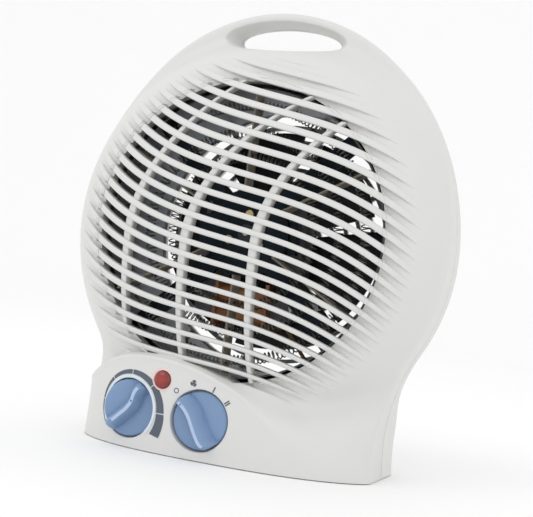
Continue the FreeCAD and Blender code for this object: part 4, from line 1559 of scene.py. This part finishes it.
@dataclass
class Knob:
    """Round knob with a tall curved fin whose narrow crest, painted paler as a highlight, carries
    a pointer dot.

    Attributes:
        path: The crest's run, as distances along the fin and across it.
        nose: Where the crest starts to dip, towards its two ends.
        left, right: How far the fin's two flanks spread.
        dot: The pointer dot's distance along the crest.
        hollow: Depth and width of the dip in the disc beside the fin.
    """

    name: str
    x: float
    face_y: float
    turn: float
    path: tuple[tuple[float, float], ...]
    nose: tuple[float, float]
    left: float
    right: float
    dot: float
    z: float = SWITCH[1]
    radius: float = 15.6
    disc: float = 4.0
    fin: float = 7.6
    crest: float = 0.95
    rim: float = 0.9
    flank_power: float = 1.35
    hollow: tuple[float, float] = (0.45, 1.1)

    def local(self, x: Array, z: Array) -> tuple[Array, Array]:
        """Distance along the fin, and across it from its crest.

        Args:
            x: Place to the right of the middle.
            z: Height over the floor.
        Returns:
            Distances along and across.
        """
        a = math.radians(self.turn)
        along = (x - self.x) * math.cos(a) - (z - self.z) * math.sin(a)
        across = (x - self.x) * math.sin(a) + (z - self.z) * math.cos(a)
        return along, across - through(self.path, along)[0]

    def spot(self, along: Any, across: Any) -> tuple[Any, Any]:
        """The x and z of a place given along and across the crest.

        Args:
            along: Distance along the fin.
            across: Distance across it from its crest.
        Returns:
            The x and the z.
        """
        a = math.radians(self.turn)
        over = across + through(self.path, np.asarray(along))[0]
        return (self.x + along * math.cos(a) + over * math.sin(a),
                self.z - along * math.sin(a) + over * math.cos(a))

    def height(self, x: Array, z: Array) -> Array:
        """Front of disc and fin.

        Args:
            x: Place to the right of the middle.
            z: Height over the floor.
        Returns:
            The y of the face.
        """
        along, across = self.local(x, z)
        low, high = self.nose
        past = np.maximum((low - along) / (self.radius + 0.6 + low),
                          (along - high) / (self.radius + 0.6 - high))
        top = self.fin * np.sqrt(1.0 - np.clip(past, 0.0, 0.98) ** 2)
        side = np.where(across > 0, self.right, self.left)
        share = np.clip((np.abs(across) - self.crest) / side, 0.0, 1.0)
        flank = top * (1.0 - share ** self.flank_power)
        flank = smooth_max(flank, np.zeros_like(flank), 0.2) - 0.2 * 0.25
        flank = -smooth_max(-flank, -top + 0.10, 0.3)
        edge = rounding(self.radius - np.hypot(x - self.x, z - self.z), self.rim)
        crease = np.maximum(np.abs(across) - self.crest - side, 0.0)
        deep, wide = self.hollow
        return self.face_y - flank + edge + deep * np.exp(-crease / wide) * (share >= 1.0)

    def line(self, across: float) -> Array:
        """Points of x and z that run beside the crest."""
        along = np.arange(-17.0, 17.0, 0.7)
        return np.stack(self.spot(along, across), 1)

    def build_crest(self, body: str) -> None:
        """The strip along the crest, painted pale blue as a highlight where light catches it.

        Args:
            body: The body it moves with.
        """
        low, high = self.nose
        profile = [(-1.0, 0.4), (-1.0, -0.05), (-0.4, -0.05), (0.4, -0.05), (1.0, -0.05),
                   (1.0, 0.4)]

        def place(u: float, across: float, down: float) -> Sequence[float]:
            """A point of the strip.

            Args:
                u: Share of the way along, from 0 to 1.
                across: Place over its width, from -1 to 1.
                down: How far it lies behind the front.
            Returns:
                Its x, y and z.
            """
            along = low - 1.0 + (high - low + 1.6) * u
            x, z = self.spot(along, across * (self.crest - 0.05))
            return float(x), float(self.height(x, z)) + down, float(z)

        # the crest strip's paler colour is a painted highlight where light catches the crest
        strip = Bench.moulding(self.name.replace("dial", "crest"), 60, profile, place)
        fit(strip, Finish.KNOB_CREST, body)

    def build(self, body: str) -> None:
        """Make the knob, its crest and its pointer dot.

        Args:
            body: The body it turns with.
        """
        sheet = Relief(self.height,
                       lambda x, z: np.hypot(x - self.x, z - self.z) < self.radius, 1.0)
        marks = [0.0, self.crest - 0.3, self.crest, self.crest + 0.3]
        for side, foot in ((-1, self.left + self.crest), (1, self.right + self.crest)):
            runs = marks + [foot - 0.25, foot, foot + 0.25, foot + 0.8]
            runs += list(np.arange(self.crest + 1.1, foot - 0.6, 0.9))
            for across in runs[1 if side > 0 else 0:]:
                sheet.lines.append(self.line(side * across))
        for inset in (0.0, 0.05, 0.18, 0.4, 0.9):
            sheet.circle(self.x, self.z, self.radius - inset, 0.6)
        made = sheet.mesh()

        def step(share: float, y: float) -> Step:
            """A ring at one depth, a share of the knob wide."""
            return lambda co: (self.x + (co.x - self.x) * share, y,
                               self.z + (co.z - self.z) * share)

        back = self.face_y + self.disc
        draw_out(made, borders(made, lambda co: True),
                 [step(1.0, back - 0.4), step(0.975, back), step(0.5, back), step(0.0, back)])
        piece = to_piece(made, self.name, 38.0)
        fit(piece, Finish.KNOB, body, [self.name.replace("dial", "knob")])
        self.build_crest(body)
        x, z = (float(c) for c in self.spot(self.dot, 0.0))
        front = float(self.height(x, z))
        dot = Bench.rod(self.name.replace("dial", "pointer"), 0.55, front - 0.12, front + 0.5,
                        x, z, 24, 0.05)
        fit(dot, Finish.DOT, body)


@dataclass
class Heater:
    """The coiled resistance wires in their mica boards."""

    rings: tuple[float, ...] = (70.0, 55.0, 41.0)
    y: float = -36.0
    coil: float = 2.6
    wire: float = 0.38
    pitch: float = 2.3
    steps: int = 10

    def ring(self, radius: float) -> Piece:
        """One ring of coiled wire.

        Args:
            radius: The ring's own radius.
        Returns:
            The settled ring.
        """
        turns = round(2 * math.pi * radius / self.pitch)

        def place(u: float, v: float) -> Sequence[float]:
            """A point of the wire's skin.

            Args:
                u: Share of the way along, from 0 to 1.
                v: Share of the way across, from 0 to 1.
            Returns:
                Its x, y and z.
            """
            around, wind = 2 * math.pi * u, 2 * math.pi * u * turns
            bend = 2 * math.pi * v
            out = self.coil + self.wire * math.cos(bend)
            r = radius + out * math.cos(wind)
            side = self.wire * math.sin(bend)
            x = r * math.cos(around) - side * math.sin(around)
            z = r * math.sin(around) + side * math.cos(around)
            return x, self.y + out * math.sin(wind), FORM.centre_z + z

        return Bench.wrap("coil", turns * self.steps, 5, place, 60.0)

    def build(self) -> None:
        """Make the three rings as one piece."""
        piece = Bench.join("heating_wires", [self.ring(r) for r in self.rings])
        fit(piece, Finish.NICHROME, replaces=["heating_coils"])


@dataclass
class Studio:
    """Camera, floor and soft lights."""

    target: Triple = (3.9, -2.0, 113.4)
    azimuth: float = 19.8
    elevation: float = -1.94
    roll: float = 7.6
    distance: float = 650.0
    focal: float = 76.39
    floor_half: float = 6000.0
    bend_start: float = 2500.0
    bend_run: float = 2400.0
    bend_radius: float = 1500.0

    def camera(self) -> None:
        """Stand the camera where the heater is seen from its right, a little below."""
        az, el, roll = (math.radians(a) for a in (self.azimuth, self.elevation, self.roll))
        back = Vector((math.sin(az) * math.cos(el), -math.cos(az) * math.cos(el), math.sin(el)))
        right = Vector((math.cos(az), math.sin(az), 0.0))
        up = back.cross(right)
        across = right * math.cos(roll) + up * math.sin(roll)
        upward = up * math.cos(roll) - right * math.sin(roll)
        data = bpy.data.cameras.new("camera")
        data.lens, data.sensor_width = self.focal, 36.0
        data.clip_start, data.clip_end = 0.01, 50.0
        camera = bpy.data.objects.new("camera", data)
        bpy.context.scene.collection.objects.link(camera)
        turn = Matrix((across, upward, back)).transposed().to_4x4()
        place = (Vector(self.target) + back * self.distance) * MM
        camera.matrix_world = Matrix.Translation(place) @ turn
        bpy.context.scene.camera = camera

    def light(self, name: str, place: Triple, power: float, size: float,
              colour: Colour = (1, 1, 1)) -> None:
        """Hang one soft square light that looks at the heater.

        Args:
            name: The light's name.
            place: Where it hangs, in metres.
            power: Its power, in watts.
            size: Width of the square, in metres.
            colour: Its colour.
        """
        data = bpy.data.lights.new(name, "AREA")
        data.energy, data.size, data.color = power, size, colour
        lamp = bpy.data.objects.new(name, data)
        bpy.context.scene.collection.objects.link(lamp)
        lamp.location = place
        aim = Vector((0.0, 0.0, 0.12)) - Vector(place)
        lamp.rotation_euler = aim.to_track_quat("-Z", "Y").to_euler()

    def build(self) -> None:
        """Set up camera, floor, world and lights."""
        self.camera()

        def sweep(u: float, v: float) -> Sequence[float]:
            """A point of the floor, which bends up far behind.

            Args:
                u: Share of the way along, from 0 to 1.
                v: Share of the way across, from 0 to 1.
            Returns:
                Its x, y and z.
            """
            run, past = self.floor_half * (2 * v - 1), self.bend_start + self.bend_run
            turn = max(0.0, min(1.0, (run - self.bend_start) / self.bend_run)) * math.pi / 2
            y = min(run, self.bend_start) + self.bend_radius * math.sin(turn)
            z = self.bend_radius * (1.0 - math.cos(turn)) + max(0.0, run - past)
            return self.floor_half * (2 * u - 1), y, z

        floor = Bench.wrap("floor", 8, 80, sweep)
        tree = NodeTree("floor")
        grain = tree.noise(400.0)
        tree.set(Base_Color=tree.blend(grain, (0.945, 0.945, 0.945), (0.96, 0.96, 0.96)),
                 Roughness=0.9)
        floor.data.materials.append(tree.material)
        world = bpy.data.worlds.new("world")
        bpy.context.scene.world = world
        world.use_nodes = True
        sky = world.node_tree.nodes["Background"]
        sky.inputs["Color"].default_value = (1.0, 1.0, 1.0, 1.0)
        sky.inputs["Strength"].default_value = 1.01
        self.light("key", (-0.9, -1.5, 1.7), 6.0, 1.4)
        self.light("fill", (1.6, -1.2, 0.9), 2.0, 1.6)
        bpy.context.scene.view_settings.view_transform = "Standard"


@dataclass
class Carried:
    """The frame's own pieces that keep their shape, and their finishes."""

    finishes: dict[str, Finish] = field(default_factory=lambda: {
        "rear_cover": Finish.SHELL, "base_plate": Finish.SHELL, "rubber_feet": Finish.RUBBER,
        "thermostat_spindle": Finish.STEEL, "switch_spindle": Finish.STEEL,
        "thermostat_body": Finish.CONTROL, "thermostat_bimetal": Finish.BRASS,
        "switch_body": Finish.CONTROL, "switch_terminals": Finish.BRASS,
        "control_screws": Finish.STEEL, "neon_lamp": Finish.LAMP_GLASS,
        # the mica finish below is darkened as painted shade
        "air_duct": Finish.DUCT, "duct_screws": Finish.STEEL, "mica_supports": Finish.MICA,
        "thermal_cutout": Finish.STEEL, "thermal_fuse": Finish.TERMINAL,
        # the motor's bracket, plates, front bearing, core and winding finishes are darkened as
        # painted shade
        "motor_bracket": Finish.DARK_STEEL, "motor_mount_screws": Finish.BRASS,
        "motor_front_plate": Finish.DARK_STEEL, "motor_rear_plate": Finish.DARK_STEEL,
        "front_bearing": Finish.BLACKED, "rear_bearing": Finish.BRONZE,
        "stator_core": Finish.LAMINATIONS, "motor_coil": Finish.WINDING,
        "rotor": Finish.LAMINATIONS, "motor_shaft": Finish.STEEL,
        "fan_impeller": Finish.FAN, "fan_clip": Finish.STEEL,
        "terminal_block": Finish.TERMINAL, "cord_inlet_bush": Finish.RUBBER,
        "wiring": Finish.WIRE_COVER, "cover_screws": Finish.STEEL,
        "base_screws": Finish.STEEL})

    def build(self) -> None:
        """Finish every carried piece."""
        for node, finish in self.finishes.items():
            dress(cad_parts[node], finish)
        log.info("%d carried pieces finished", len(self.finishes))


def main() -> None:
    """Build the heater, one sub-assembly after another."""
    logging.basicConfig(level=logging.INFO, format="%(message)s", stream=sys.stdout)
    Studio().build()
    FrontCover().build()
    Panel().build()
    Knob("thermostat_dial", THERMOSTAT[0], face_y=-48.5, turn=-56.0,
         path=((-18, 3.0), (-9.2, 0.9), (-4.3, -0.1), (0.7, -1.0), (4.2, -1.0), (7.1, -0.2),
               (9.6, 0.8), (12.1, 1.2), (16.5, 0.5), (18, 0.2)),
         nose=(-8.8, 13.0), left=2.6, right=3.4, dot=5.9).build("thermostat_control")
    Knob("switch_dial", SWITCH[0], face_y=-53.0, turn=49.0,
         path=((-18, -3.6), (-13.6, -2.6), (-11.4, -2.0), (-7.5, -1.6), (-4, -1.8), (-0.2, -2.6),
               (4, -3.6), (7.8, -4.3), (11.3, -4.5), (15, -3.3), (18, -2.2)),
         nose=(-12.6, 13.0), left=2.2, right=5.2, dot=-11.8).build("switch_control")
    Heater().build()
    Carried().build()


if __name__ == "__main__":
    main()
